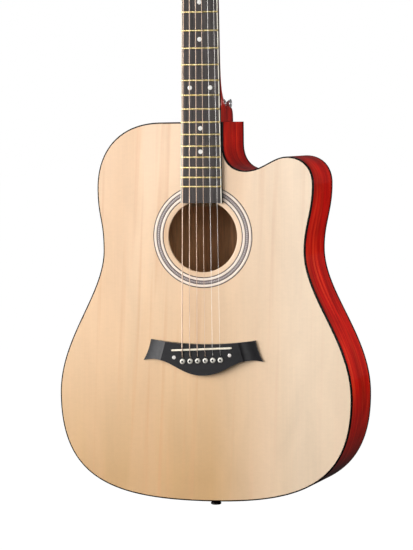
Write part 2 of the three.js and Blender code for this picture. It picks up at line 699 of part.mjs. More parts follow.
const PLATE_FRONT = HEAD_BACK + GAP;
const PLATE_BACK = PLATE_FRONT + 1;
const LUG_NEAR = 5.6;
const LUG_FAR = 7.4;
const LUG_HALF = 3.4;

function tunerPlate() {
  const outline = [
    [POST_X - 9.4, POSTS[0] - 13], [POST_X + 9.6, POSTS[0] - 13],
    [POST_X + 9.6, POSTS[2] + 21], [POST_X - 9.4, POSTS[2] + 21],
  ].map(vector);
  const plate = slab(outline, PLATE_FRONT, PLATE_BACK, POSTS.map((s) => circle(POST_X, s, 3.7, 8)));
  const lugs = POSTS.flatMap((s) => [-LUG_FAR, LUG_NEAR].map((x) => {
    const axis = s + WORM_OFFSET;
    const wide = LUG_FAR - LUG_NEAR;
    return block(POST_X + x, POST_X + x + wide, PLATE_BACK - 0.2, GEAR_LEVEL + 3.2,
      axis - LUG_HALF, axis + LUG_HALF);
  }));
  const bores = POSTS.map((s) => {
    const bore = turned([[0, 0], [2, 0], [2, 40], [0, 40]], 8);
    return bore.rotateZ(-Math.PI / 2).translate(POST_X - 20, GEAR_LEVEL, s + WORM_OFFSET);
  });
  return cut(join(plate, ...lugs), ...bores);
}

// Post and gear wheel about the y axis, with a tooth gap facing the worm (+z).
function tunerPost() {
  const step = (2 * Math.PI) / GEAR_TEETH;
  const tooth = [[-0.33, 5], [-0.13, 6.6], [0.13, 6.6], [0.33, 5]];
  const rim = Array.from({ length: GEAR_TEETH }, (_, i) => tooth.map(([share, radius]) => {
    const angle = Math.PI / 2 + step * (i + 0.5 + share);
    return new THREE.Vector2(radius * Math.cos(angle), radius * Math.sin(angle));
  })).flat();
  const wheel = slab(rim, GEAR_LEVEL - 1.2, GEAR_LEVEL + 1.2);
  const post = turned([
    [0, -12], [3, -12], [3, PLATE_BACK + 0.4], [4, PLATE_BACK + 0.4],
    [4, GEAR_LEVEL - 1], [2.4, GEAR_LEVEL + 1], [2.4, GEAR_LEVEL + 2.4], [0, GEAR_LEVEL + 2.4],
  ], 8);
  return join(wheel, post);
}

// Worm, shaft and button along the x axis, with the thread at x = 0 on the gear's side (-z).
function tunerKey() {
  const lead = (2 * Math.PI * GEAR_PITCH_RADIUS) / GEAR_TEETH;
  const chords = 8;
  const rings = Array.from({ length: 2.5 * chords + 1 }, (_, i) => {
    const turn = i / chords - 1.25;
    const angle = 2 * Math.PI * turn - Math.PI / 2;
    const corner = (radius, shift) => new THREE.Vector3(
      lead * turn + shift, radius * Math.cos(angle), radius * Math.sin(angle));
    return [corner(1.2, -0.55), corner(3.2, -0.28), corner(3.2, 0.28), corner(1.2, 0.55)];
  });
  const shaft = turned([
    [0, -9], [1.6, -9], [1.6, 7.8], [2.7, 7.8], [2.7, 9.2], [1.6, 9.2], [1.6, 15],
    [2.9, 17], [2.6, 23], [0, 23],
  ], 8).rotateZ(-Math.PI / 2);
  const knob = outward(new THREE.SphereGeometry(1, 8, 6)).scale(7, 4.2, 8.6).translate(26, 0, 0);
  return join(shaft, loft(rings), knob);
}

function buildTuners() {
  const plate = tunerPlate();
  const post = tunerPost();
  const key = tunerKey();
  add('tuner_plate_bass', mirrored(plate), chrome(), headstock);
  add('tuner_plate_treble', plate, chrome(), headstock);
  STRINGS.forEach(({ number }, i) => {
    const side = i < 3 ? -1 : 1;
    const postS = side < 0 ? POSTS[i] : POSTS[5 - i];
    const hand = (geometry) => (side < 0 ? mirrored(geometry) : geometry.clone());
    const postMesh = add(`tuner_post_${number}`, hand(post), chrome(), headstock);
    postMesh.position.set(side * POST_X, 0, postS);
    const keyMesh = add(`tuner_key_${number}`, hand(key), chrome(), headstock);
    keyMesh.position.set(side * POST_X, GEAR_LEVEL, postS + WORM_OFFSET);
  });
}

// ---------------------------------------------------------------- assembly

buildShell();
buildBracing();
buildNeck();
buildFretboard();
buildBridge();
buildStrings();
buildTuners();
guitar.updateMatrixWorld(true);

export default guitar;
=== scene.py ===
"""Looks of a steel-string cutaway acoustic guitar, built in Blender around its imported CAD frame.

Shapes are written in millimetres in the frame of the CAD: x = 0 is the centre line with the treble side
at +x, y = 0 is the soundboard's face with the front towards -y, and z = 0 is the nut with the headstock
above it. mesh_piece() turns them into metres.
"""

import math
from collections import namedtuple

import bmesh
import bpy
import numpy as np
from mathutils import Matrix, Vector


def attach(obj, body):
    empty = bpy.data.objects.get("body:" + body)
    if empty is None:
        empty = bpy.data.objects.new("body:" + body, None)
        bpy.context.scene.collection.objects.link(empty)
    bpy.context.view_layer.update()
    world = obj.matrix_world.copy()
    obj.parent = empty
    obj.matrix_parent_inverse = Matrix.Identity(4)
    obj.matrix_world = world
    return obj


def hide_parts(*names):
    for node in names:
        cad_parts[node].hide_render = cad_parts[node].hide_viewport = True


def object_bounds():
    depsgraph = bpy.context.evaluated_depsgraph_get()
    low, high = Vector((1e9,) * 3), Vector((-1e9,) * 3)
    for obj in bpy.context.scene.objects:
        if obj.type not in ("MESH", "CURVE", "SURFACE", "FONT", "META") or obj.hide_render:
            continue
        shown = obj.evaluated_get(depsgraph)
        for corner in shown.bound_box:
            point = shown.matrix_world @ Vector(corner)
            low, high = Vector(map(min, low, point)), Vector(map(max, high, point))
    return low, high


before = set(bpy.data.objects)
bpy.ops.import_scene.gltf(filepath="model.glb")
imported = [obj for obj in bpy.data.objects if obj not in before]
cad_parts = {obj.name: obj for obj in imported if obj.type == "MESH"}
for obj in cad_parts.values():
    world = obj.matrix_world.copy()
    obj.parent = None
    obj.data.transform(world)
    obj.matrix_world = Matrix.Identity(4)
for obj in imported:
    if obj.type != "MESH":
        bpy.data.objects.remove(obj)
CAD_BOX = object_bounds()
MM = 0.001
GAP = 0.03  # mm between pieces that touch

# ---- sizes of the CAD part

SCALE_LENGTH = 650
FRET_COUNT = 20
BODY_FRET = 14
BODY_LENGTH = 502
DEPTH_AT_NECK = 102
DEPTH_AT_TAIL = 110
SOUNDBOARD = 2.8
BACK = 2.8
SIDE = 2.4
BINDING_WIDE = 1.8
BINDING_DEEP = 5
BACK_BINDING_DEEP = 6.8
LINING_WIDE = 6
LINING_DEEP = 12
HOLE_DOWN = 150.5
HOLE_RADIUS = 47.35
ROSETTE_INNER = 53.9
ROSETTE_OUTER = 68.2
ROSETTE_DEEP = 1
ROSETTE_MIDDLE = (ROSETTE_INNER + ROSETTE_OUTER) / 2
NUT_WIDTH = 44.5
NUT_THICK = 5
BOARD_FLARE = 0.0262
BOARD_THICK = 6.3
BOARD_END_DOWN = 106.5
BOARD_BINDING = 1.5
BOARD_RADIUS = 406
FRET_WIDE = 2.4
FRET_HIGH = 1
SHAFT_AT_NUT = 14.7
SHAFT_AT_HEEL = 17.2
SHAFT_FULLNESS = 2.1
HEEL_DEPTH = 97
HEEL_CAP = 3
HEEL_HALF_AT_CAP = 14.5
HEEL_FOOT = 22
HEEL_SLOPE = 0.1
HEEL_FLARE = 50
HEEL_FLARE_DEPTH = 15
HEAD_TILT = math.radians(14)
HEAD_START = 0.8
HEAD_LENGTH = 174
HEAD_HALF = 37
HEAD_BACK = 15.5
VENEER = 1.4
STRING_DIAMETERS = [1.35, 1.07, 0.81, 0.61, 0.41, 0.3]
PLAIN_STRINGS = 2
PIN_PITCH = 10.45
SADDLE_PITCH = 10.36
NUT_PITCH = 7.26
PIN_DOWN = 314.2
SADDLE_DOWN = 299.05
SADDLE_LENGTH = 83
BRIDGE_SLANT = 0.05
BRIDGE_HIGH = 9
BRIDGE_CAP_X = 38.3
BRIDGE_CAP_DOWN = 308.6
SADDLE_TOP = 11.5
SADDLE_WIDE = 2.56
NUT_STRING_LEVEL = 7.9
PIN_BORE = 3.1
STRING_BESIDE_PIN = 4.9
POST_X = 22
POSTS = [45, 80.5, 116]
POST_BORE = 3.6
GEAR_TEETH = 14
GEAR_PITCH_RADIUS = 6
WORM_OFFSET = 8.6
GEAR_LEVEL = 20.5
ROD_Y = 7
BUTTON_SEAT = 17.6
BUTTON_SEAT_RADIUS = 6.7
BUTTON_Y = 42
BUTTON_UP = 24.4
END_PIN_Y = 52


def fret_z(n):
    return -SCALE_LENGTH * (1 - 2 ** (-n / 12))


BODY_TOP = fret_z(BODY_FRET)
TAIL = BODY_TOP - BODY_LENGTH
HOLE_Z = BODY_TOP - HOLE_DOWN
BOARD_END = BODY_TOP - BOARD_END_DOWN


def board_half(z):
    return (NUT_WIDTH - BOARD_FLARE * z) / 2


def back_y(z):
    return DEPTH_AT_NECK + (DEPTH_AT_TAIL - DEPTH_AT_NECK) * (BODY_TOP - z) / BODY_LENGTH


def slant_z(down, x):
    return BODY_TOP - down + BRIDGE_SLANT * x


# From the headstock's own frame, with its face at y = 0, to the guitar's frame.
HEADSTOCK = Matrix.Translation((0, 0, NUT_THICK)) @ Matrix.Rotation(-HEAD_TILT, 4, "X")

# ---- points and faces


def lerp(a, b, share):
    return a + (b - a) * share


def smoothstep(value):
    share = np.clip(value, 0, 1)
    return share * share * (3 - 2 * share)


def columns(*values):
    """Points from their coordinates, each an array or one number for all the points."""
    return np.column_stack(np.broadcast_arrays(*values)).astype(float)


def unit(vectors):
    return vectors / np.linalg.norm(vectors, axis=-1, keepdims=True)


def bezier(handles, steps):
    """Points along a Bezier curve of any degree, from its first handle to just before its last."""
    t = np.arange(steps)[:, None] / steps
    rows = [np.asarray(h, float)[None, :] for h in handles]
    while len(rows) > 1:
        rows = [(1 - t) * a + t * b for a, b in zip(rows, rows[1:])]
    return rows[0]


def filleted(points, radius, steps=4, closed=False):
    """The polyline with each corner rounded, from up to radius before it to as far after it."""
    points = [np.asarray(p, float) for p in points]
    made = []
    for i, corner in enumerate(points):
        if not closed and i in (0, len(points) - 1):
            made.append(corner)
            continue
        before = points[i - 1] - corner
        after = points[(i + 1) % len(points)] - corner
        reach = min(radius, np.linalg.norm(before) * 0.49, np.linalg.norm(after) * 0.49)
        start = corner + unit(before) * reach
        end = corner + unit(after) * reach
        made.extend(bezier([start, corner, end], steps))
        made.append(end)
    return np.array(made)


def grid(rows, wrap_rows=False, wrap_columns=True):
    """Points and faces of a sheet through equal rows of points."""
    points = np.vstack(rows).astype(float)
    index = np.arange(len(points)).reshape(len(rows), -1)
    if wrap_rows:
        index = np.vstack([index, index[:1]])
    if wrap_columns:
        index = np.column_stack([index, index[:, 0]])
    corners = [index[:-1, :-1], index[:-1, 1:], index[1:, 1:], index[1:, :-1]]
    return points, [tuple(face) for face in np.stack(corners, -1).reshape(-1, 4).tolist()]


def loft(rings):
    """A closed skin through rings of points, with a flat face on each end."""
    points, faces = grid(rings)
    count = len(rings[0])
    faces.append(tuple(range(count)))
    faces.append(tuple(range(len(points) - count, len(points))))
    return points, faces


def lathe(profile, count=40):
    """A turned shape about the y axis, from pairs of radius and y."""
    angles = 2 * np.pi * np.arange(count) / count
    return grid([columns(radius * np.cos(angles), y, radius * np.sin(angles)) for radius, y in profile])


def prism(outline, y0, y1):
    """An outline in x and z, carried along y from y0 to y1."""
    outline = np.asarray(outline, float)
    return loft([np.insert(outline, 1, y, axis=1) for y in (y0, y1)])


def cylinder(radius, y0, y1, count=24):
    return lathe([(0, y0), (radius, y0), (radius, y1), (0, y1)], count)


def mirrored(right):
    """A closed outline from its half at +x: along that side, and back along the other."""
    left = right[::-1].copy()
    left[:, 0] *= -1
    return np.vstack([right, left])


def box(x0, x1, y0, y1, z0, z1):
    return prism([(x0, z0), (x1, z0), (x1, z1), (x0, z1)], y0, y1)


def joined(shapes):
    points = []
    faces = []
    start = 0
    for more_points, more_faces in shapes:
        points.append(more_points)
        faces.extend(tuple(start + i for i in face) for face in more_faces)
        start += len(more_points)
    return np.vstack(points), faces


def moved(shape, matrix):
    points, faces = shape
    turned = points @ np.array(matrix.to_3x3()).T + np.array(matrix.to_translation())
    return turned, faces


def shift(x, y, z):
    return Matrix.Translation((x, y, z))


def along_x(x, y, z):
    """Turns a lathe about y into one about x, and moves it."""
    return shift(x, y, z) @ Matrix.Rotation(-math.pi / 2, 4, "Z")


def mirror_if(side):
    return Matrix.Scale(side, 4, (1, 0, 0))


BUTTON_PLACE = along_x(BUTTON_SEAT, BUTTON_Y, BODY_TOP + BUTTON_UP)


def tube(route, radius, sides=12):
    """A round tube along a route of points."""
    route = np.asarray(route, float)
    ahead = unit(np.gradient(route, axis=0))
    normal = unit(np.cross(ahead[0], (0.3, 0.9, 0.2)))
    angles = 2 * np.pi * np.arange(sides)[:, None] / sides
    rings = []
    for spot, direction in zip(route, ahead):
        normal = unit(normal - direction * normal.dot(direction))
        other = np.cross(direction, normal)
        rings.append(spot + radius * (np.cos(angles) * normal + np.sin(angles) * other))
    return loft(rings)


# ---- pieces


def add_to_scene(name, data, matrix=Matrix()):
    made = bpy.data.objects.new(name, data)
    bpy.context.scene.collection.objects.link(made)
    made.matrix_world = matrix
    return made


def mesh_piece(name, shape, materials, bands=None, sharp=35, cuts=None, bevel=0, **bevelling):
    """A mesh object of a shape in millimetres, with the cuts taken out and its edges bevelled.

    bands gives each face's material when there are several.
    """
    points, faces = shape
    mesh = bpy.data.meshes.new(name)
    mesh.from_pydata((points * MM).tolist(), [], faces)
    for material in materials if isinstance(materials, list) else [materials]:
        mesh.materials.append(material)
    if bands is not None:
        mesh.polygons.foreach_set("material_index", np.asarray(bands, np.int32))
    work = bmesh.new()
    work.from_mesh(mesh)
    bmesh.ops.remove_doubles(work, verts=work.verts, dist=0.002 * MM)
    bmesh.ops.recalc_face_normals(work, faces=work.faces)
    work.to_mesh(mesh)
    work.free()
    mesh.shade_smooth()
    mesh.set_sharp_from_angle(angle=math.radians(sharp))
    piece = add_to_scene(name, mesh)
    if cuts:
        carve(piece, cuts)
    if bevel:
        add_bevel(piece, bevel, **bevelling)
    return piece


def add_bevel(piece, width, segments=3, angle=35):
    bevel = piece.modifiers.new("Bevel", "BEVEL")
    bevel.width = width * MM
    bevel.segments = segments
    bevel.limit_method = "ANGLE"
    bevel.angle_limit = math.radians(angle)
    bevel.harden_normals = True


def carve(piece, cutters):
    """Cuts the cutters out of a piece for good."""
    tool = mesh_piece(piece.name + "_cutter", joined(cutters), [])
    cut = piece.modifiers.new("Cut", "BOOLEAN")
    cut.operation = "DIFFERENCE"
    cut.solver = "EXACT"
    cut.use_self = True
    cut.object = tool
    whole = piece.evaluated_get(bpy.context.evaluated_depsgraph_get())
    mesh = bpy.data.meshes.new_from_object(whole)
    piece.modifiers.clear()
    piece.data = mesh
    mesh.shade_smooth()
    mesh.set_sharp_from_angle(angle=math.radians(35))
    bpy.data.objects.remove(tool)


def add_piece(name, shape, finish, slot, stands_for=None, body="guitar", **making):
    """A piece that rides on a body, in the place of the CAD node that it stands for."""
    piece = mesh_piece(name, shape, finish, **making)
    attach(piece, body)
    if stands_for:
        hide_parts(stands_for)


def turned_piece(name, profile, matrix, finish, slot, stands_for=None, body="guitar", count=48):
    add_piece(name, moved(lathe(profile, count), matrix), finish, slot, stands_for, body)


# ---- materials


def rgb(red, green, blue):
    """A display colour from 0 to 255 as the linear colour that shaders take."""
    shares = np.array([red, green, blue]) / 255
    linear = np.where(shares > 0.04045, ((shares + 0.055) / 1.055) ** 2.4, shares / 12.92)
    return (*linear.tolist(), 1.0)


class Nodes:
    """The nodes of a material or the world, added one by one."""

    def __init__(self, owner, shader):
        owner.use_nodes = True
        self.tree = owner.node_tree
        self.shader = self.tree.nodes[shader]

    def node(self, kind, inputs=None, **settings):
        made = self.tree.nodes.new("ShaderNode" + kind)
        for name, value in settings.items():
            setattr(made, name, value)
        for name, value in (inputs or {}).items():
            self.feed(made.inputs[name], value)
        return made

    def feed(self, socket, value):
        if isinstance(value, bpy.types.NodeSocket):
            self.tree.links.new(value, socket)
        else:
            socket.default_value = value

    def set(self, socket, value):
        self.feed(self.shader.inputs[socket], value)

    def blend(self, factor, a, b, how="MIX"):
        made = self.node("Mix", data_type="RGBA", blend_type=how)
        self.feed(made.inputs[0], factor)
        self.feed(made.inputs[6], a)
        self.feed(made.inputs[7], b)
        return made.outputs[2]


class Surface(Nodes):
    """A material. Its lengths are metres in the guitar's frame."""

    def __init__(self, name, **values):
        self.material = bpy.data.materials.new(name)
        super().__init__(self.material, "Principled BSDF")
        for socket, value in values.items():
            self.shader.inputs[socket.replace("_", " ")].default_value = value
        self.where = self.node("TexCoord").outputs["Object"]

    def noise(self, per_metre, detail=3, distortion=0.0, seed=0.0, where=None):
        """Noise from 0 to 1 with about that many features a metre, which may differ along x, y and z."""
        scale = per_metre if isinstance(per_metre, tuple) else [per_metre] * 3
        spot = self.node("Mapping", {"Vector": where or self.where, "Scale": scale, "Location": [seed] * 3})
        return self.node("TexNoise", {
            "Vector": spot.outputs[0], "Scale": 1, "Detail": detail, "Distortion": distortion,
        }).outputs[0]

    def math(self, operation, a, b=0.0):
        made = self.node("Math", operation=operation)
        self.feed(made.inputs[0], a)
        self.feed(made.inputs[1], b)
        return made.outputs[0]

    def colours(self, factor, *stops):
        """A display colour from 0 to 255 for each factor, by way of the stops."""
        made = self.node("ValToRGB", {"Fac": factor})
        ramp = made.color_ramp
        while len(ramp.elements) < len(stops):
            ramp.elements.new(0.5)
        for element, (at, colour) in zip(ramp.elements, stops):
            element.position = at
            element.color = rgb(*colour)
        return made.outputs[0]

    def values(self, factor, low, high, start=0.3, end=0.7):
        """A number from low to high as the factor goes from start to end."""
        made = self.node("MapRange", {
            "Value": factor, "From Min": start, "From Max": end, "To Min": low, "To Max": high,
        })
        return made.outputs[0]

    def times(self, colour, factor, low, high):
        return self.blend(1.0, colour, self.values(factor, low, high), "MULTIPLY")

    def finished(self, colour, fine, smooth, rough, depth, strength=1.0):
        """The material, with fine going from smooth to rough and standing up by depth metres."""
        self.set("Base Color", colour)
        self.set("Roughness", self.values(fine, smooth, rough))
        self.bump(fine, depth, strength)
        return self.material

    def bump(self, height, depth, strength=1.0):
        """Raises the surface by depth metres where height is 1."""
        made = self.node("Bump", {"Height": height, "Distance": depth, "Strength": strength})
        self.set("Normal", made.outputs[0])

    def along(self, axis):
        return self.node("SeparateXYZ", {"Vector": self.where}).outputs[axis]


def soundboard_wood():
    """Pale satin wood: darker and more golden towards the tail as painted shade, paler on the treble half as
    a painted sheen, with soft clouds and streaks.
    """
    wood = Surface("Soundboard wood", Roughness=0.45, Coat_Weight=0.25, Coat_Roughness=0.3)
    leaning = wood.node("Mapping", {"Vector": wood.where, "Rotation": (0, -0.05, 0)}).outputs[0]
    cloud = wood.noise((24, 24, 7), distortion=0.8, seed=3.1)
    patch = wood.noise((14, 14, 1.8), distortion=0.5, seed=8.4, where=leaning)
    streak = wood.noise((90, 90, 2), distortion=0.3, seed=6.6, where=leaning)
    grain = wood.noise((520, 520, 6), detail=4, seed=1.7)
    fleck = wood.noise((160, 160, 420), detail=2, seed=5.5)
    # Painted shade: the top is coloured lighter near the neck and darker, more golden, towards the tail,
    # standing in for how the light falls down it.
    down = wood.values(wood.along("Z"), 0, 1, -0.40, -0.85)
    colour = wood.colours(down, (0, (243, 210, 177)), (0.58, (231, 193, 151)),
                          (0.78, (216, 176, 129)), (0.96, (204, 162, 110)))
    colour = wood.blend(wood.values(patch, 0, 0.6, 0.48, 0.72), colour, rgb(228, 184, 140))
    colour = wood.blend(wood.values(streak, 0, 0.5, 0.57, 0.74), colour, rgb(216, 160, 112))
    # Painted sheen: the treble half is blended towards a paler, less saturated colour to stand in for the
    # broad glossy sheen of the light on that side.
    treble = wood.values(wood.along("X"), 0, 0.6, 0.01, 0.13)
    colour = wood.blend(treble, colour, rgb(249, 230, 206))
    for pattern, least, most in ((cloud, 0.94, 1.03), (grain, 0.98, 1.01), (fleck, 0.985, 1.012)):
        colour = wood.times(colour, pattern, least, most)
    return wood.finished(colour, grain, 0.4, 0.5, 0.000012)


def cherry_lacquer(name, per_metre, two_halves=False):
    """Red see-through lacquer over wood whose grain lies along the axis with the fewest features.

    With two_halves the grain of one side of the centre line mirrors the other's.
    """
    wood = Surface(name, Roughness=0.45, Specular_IOR_Level=0.15, Coat_Weight=0.7, Coat_Roughness=0.08)
    where = wood.where
    if two_halves:
        half = wood.math("ABSOLUTE", wood.along("X"))
        where = wood.node("CombineXYZ", {"X": half, "Y": wood.along("Y"), "Z": wood.along("Z")}).outputs[0]
    x, y, z = per_metre
    figure = wood.noise(per_metre, detail=5, distortion=0.7, seed=2.2, where=where)
    cloud = wood.noise((13, 26, 13), distortion=0.6, seed=6.1)
    pores = wood.noise((x * 9, y * 9, z * 5), seed=4.4, where=where)
    colour = wood.colours(figure, (0.3, (172, 8, 8)), (0.5, (206, 24, 12)), (0.7, (232, 64, 32)))
    colour = wood.times(colour, cloud, 0.6, 1.15)
    wood.set("Base Color", wood.times(colour, pores, 0.86, 1.05))
    wood.set("Roughness", wood.values(pores, 0.34, 0.46))
    wood.bump(cloud, 0.00012, 0.35)
    return wood.material


def plain_wood(name, dark, light, per_metre, roughness=0.65, pore_depth=0.00008, seed=0.0, specular=0.5):
    """Wood with streaks, pores and a slight gloss, pores along the axis with the fewest features."""
    wood = Surface(name, Roughness=roughness, Specular_IOR_Level=specular)
    x, y, z = per_metre
    streak = wood.noise(per_metre, detail=5, distortion=0.5, seed=seed)
    pores = wood.noise((x * 12, y * 12, z * 8), seed=seed + 3)
    colour = wood.times(wood.colours(streak, (0.3, dark), (0.7, light)), pores, 0.7, 1.08)
    return wood.finished(colour, pores, roughness + 0.1, roughness - 0.06, pore_depth)


def moulded(name, colour, shade, roughness=0.25, coat=0.0, mottle=60, specular=0.5):
    """Plastic, bone or lacquer with a slight mottle and the fine scuffs of handling."""
    made = Surface(name, Roughness=roughness, Coat_Weight=coat, Coat_Roughness=0.08,
                   Specular_IOR_Level=specular)
    cloud = made.noise(mottle, detail=4, seed=1.3)
    scuff = made.noise(900, seed=7.7)
    colour = made.colours(cloud, (0.3, shade), (0.7, colour))
    return made.finished(colour, scuff, roughness * 0.75, roughness * 1.3, 0.00001, 0.5)


def polished_metal(name, colour, tarnish, roughness, brush=400, depth=0.000006, metallic=1.0):
    metal = Surface(name, Metallic=metallic, Roughness=roughness)
    cloud = metal.noise(90, detail=4, seed=2.9)
    lines = metal.noise(brush, detail=4, seed=9.2)
    colour = metal.colours(cloud, (0.35, tarnish), (0.65, colour))
    return metal.finished(colour, lines, roughness * 0.7, roughness * 1.5, depth)


def wound_bronze():
    """Bronze wire wound round a core: fine ridges across the string."""
    metal = Surface("Wound bronze", Metallic=1.0, Roughness=0.42)
    turns = {"Vector": metal.where, "Scale": 560, "Distortion": 0, "Detail": 0}
    wave = metal.node("TexWave", turns, bands_direction="Z")
    cloud = metal.noise((120, 120, 40))
    colour = metal.colours(cloud, (0.3, (220, 190, 168)), (0.7, (240, 214, 194)))
    metal.set("Base Color", metal.blend(0.2, colour, wave.outputs["Color"], "MULTIPLY"))
    metal.bump(wave.outputs["Fac"], 0.00005)
    return metal.material


def pearl():
    made = Surface("Pearl", Roughness=0.18, Coat_Weight=1.0, Coat_Roughness=0.05)
    flow = made.noise(260, distortion=1.4)
    made.set("Base Color", made.colours(flow, (0.3, (168, 162, 158)), (0.5, (214, 206, 200)),
                                        (0.7, (236, 234, 226))))
    return made.material


def herringbone():
    """The rosette's middle band: short pale and dark slips laid round the soundhole."""
    made = Surface("Rosette band", Roughness=0.4, Coat_Weight=0.35, Coat_Roughness=0.22)
    across = made.along("X")
    rise = made.math("SUBTRACT", made.along("Z"), HOLE_Z * MM)
    turn = made.math("ARCTAN2", rise, across)
    flat = made.node("CombineXYZ", {"X": across, "Z": rise})
    out = made.node("VectorMath", {"Vector": flat.outputs[0]}, operation="LENGTH").outputs["Value"]
    lean = made.math("ABSOLUTE", made.math("SUBTRACT", out, ROSETTE_MIDDLE * MM))
    slips_round = 150
    lean_per_metre = 2400
    phase = made.math("ADD", made.math("MULTIPLY", turn, slips_round),
                      made.math("MULTIPLY", lean, lean_per_metre))
    slips = made.values(made.math("SINE", phase), 0, 1, -1, 1)
    made.set("Base Color", made.colours(slips, (0.35, (126, 112, 110)), (0.65, (184, 172, 168))))
    return made.material


def felt():
    made = Surface("Felt", Roughness=0.95, Sheen_Weight=0.6, Sheen_Roughness=0.5)
    fuzz = made.noise(1500, detail=5)
    made.set("Base Color", made.colours(fuzz, (0.3, (16, 15, 16)), (0.7, (42, 40, 41))))
    made.bump(fuzz, 0.0002)
    return made.material


SPRUCE = soundboard_wood()
CHERRY_SIDE = cherry_lacquer("Cherry side", (7, 120, 7))
CHERRY_NECK = cherry_lacquer("Cherry neck", (90, 90, 7))
CHERRY_BACK = cherry_lacquer("Cherry back", (60, 60, 4), two_halves=True)
INNER_WOOD = plain_wood("Inner wood", (180, 120, 74), (208, 150, 100), (30, 30, 3), seed=2.0)
BRACE_WOOD = plain_wood("Brace wood", (176, 134, 88), (206, 166, 118), (120, 120, 120), seed=5.0)
LINING_WOOD = plain_wood("Lining wood", (150, 108, 68), (186, 144, 98), (60, 60, 60), seed=9.0)
BOARD_WOOD = plain_wood("Fretboard wood", (50, 45, 44), (78, 71, 69), (160, 160, 7),
                        roughness=0.5, pore_depth=0.00012, seed=4.0, specular=0.3)
BRIDGE_WOOD = plain_wood("Bridge wood", (13, 12, 15), (27, 25, 29), (9, 90, 150),
                         roughness=0.34, pore_depth=0.00005, seed=6.0, specular=0.32)
# Painted highlight: the bridge's two end faces get this light grey wood to stand in for the glint of the
# treble-side light on them.
BRIDGE_END_HIGHLIGHT = plain_wood("Bridge end painted highlight", (84, 78, 74), (132, 124, 117), (160, 120, 160), seed=6.0)
HEAD_WOOD = plain_wood("Headstock veneer", (22, 18, 18), (44, 34, 30), (120, 120, 6),
                       roughness=0.3, pore_depth=0.00004, seed=8.0)
BLACK_BINDING = moulded("Black binding", (12, 10, 10), (6, 5, 5), 0.4, specular=0.1)
BLACK_PLASTIC = moulded("Black plastic", (14, 13, 14), (8, 8, 9), 0.25)
CREAM_PLASTIC = moulded("Cream binding", (242, 236, 222), (230, 221, 202), 0.35)
BONE = moulded("Bone", (255, 247, 230), (242, 229, 203), 0.32, mottle=220)
WHITE_PLASTIC = moulded("White plastic", (250, 247, 238), (236, 231, 218), 0.18, coat=0.6)
DOT_WHITE = moulded("Position dots", (250, 248, 242), (226, 224, 218), 0.2, coat=0.5, mottle=500)
RING_CREAM = moulded("Rosette cream", (250, 234, 220), (240, 220, 202), 0.5)
RING_DARK = moulded("Rosette dark", (88, 68, 63), (66, 50, 46), 0.5)
HERRINGBONE = herringbone()
CHROME = polished_metal("Chrome", (222, 223, 226), (198, 199, 203), 0.16, metallic=0.72)
ROD_STEEL = polished_metal("Rod steel", (170, 170, 174), (120, 116, 112), 0.35)
FRET_METAL = polished_metal("Fret metal", (250, 228, 166), (238, 210, 140), 0.3,
                            brush=(90, 900, 900), depth=0.000002)
STRING_STEEL = polished_metal("Plain string steel", (250, 246, 242), (232, 227, 222), 0.42,
                              brush=(900, 900, 40), depth=0.000001)
BALL_BRASS = polished_metal("Ball end brass", (226, 190, 112), (190, 150, 84), 0.25)
STRING_BRONZE = wound_bronze()
PEARL = pearl()
FELT = felt()

# ---- camera, light and floor

CAMERA_TURN = 16.85
CAMERA_RISE = 3.25
CAMERA_ROLL = -0.496
CAMERA_AWAY = 3.7488
CAMERA_TARGET = Vector((4.95, 0, -561.89))
CAMERA_LENS = 186.03
DIM_SKY = (0.02375, 0.02425, 0.025, 1)
WHITE = (1, 1, 1, 1)
FLOOR_BELOW = 250
FLOOR_REACH = 30000
# Each light's turn and rise in degrees, its distance, width and height in metres, and its watts.
LIGHTS = {
    "Key": (-43, 10, 3.2, 2.4, 2.4, 120),
    "Fill": (24, 10, 3.6, 2.0, 2.4, 36),
    "Treble side": (96, 14, 0.6, 0.25, 0.25, 2.2),
    "Bass side": (-80, 8, 2.6, 1.2, 2.2, 40),
    "Behind": (190, 60, 3.4, 2.4, 2.0, 55),
}


def looking_in(turn, rise, away, roll=0):
    """Where a camera or light stands that faces the guitar's middle from away metres.

    The angles are in degrees, and turn is from the front, towards the treble side.
    """
    aim = (Matrix.Rotation(math.radians(turn), 4, "Z") @ Matrix.Rotation(math.radians(90 - rise), 4, "X")
           @ Matrix.Rotation(math.radians(roll), 4, "Z"))
    return Matrix.Translation(CAMERA_TARGET * MM) @ aim @ Matrix.Translation((0, 0, away))


def add_camera():
    lens = bpy.data.cameras.new("Camera")
    lens.lens = CAMERA_LENS
    lens.sensor_width = 36
    lens.clip_end = 100
    seat = looking_in(CAMERA_TURN, CAMERA_RISE, CAMERA_AWAY, CAMERA_ROLL)
    bpy.context.scene.camera = add_to_scene("Camera", lens, seat)


def add_light(name, turn, rise, away, width, height, power):
    panel = bpy.data.lights.new(name, "AREA")
    panel.shape = "RECTANGLE"
    panel.size = width
    panel.size_y = height
    panel.energy = power
    light = add_to_scene(name, panel, looking_in(turn, rise, away))
    light.visible_camera = False


def add_studio():
    """White to the camera, while the world and the floor send nearly no light to the guitar."""
    scene = bpy.context.scene
    scene.view_settings.view_transform = "Standard"
    scene.world = bpy.data.worlds.new("Studio")
    sky = Nodes(scene.world, "Background")
    sky.set("Color", sky.blend(sky.node("LightPath").outputs["Is Camera Ray"], DIM_SKY, WHITE))

    for name, values in LIGHTS.items():
        add_light(name, *values)

    low = CAD_BOX[0].z / MM - FLOOR_BELOW
    reach = FLOOR_REACH
    ground = Surface("Floor", Roughness=0.9, Specular_IOR_Level=0.1)
    cloud = ground.noise(2, detail=2)
    ground.set("Base Color", ground.colours(cloud, (0.3, (46, 46, 46)), (0.7, (52, 52, 52))))
    ground.set("Emission Color", WHITE)
    ground.set("Emission Strength", ground.node("LightPath").outputs["Is Camera Ray"])
    floor = mesh_piece("studio_floor", box(-reach, reach, -reach, reach, low - 20, low), ground.material)


# ---- body outline

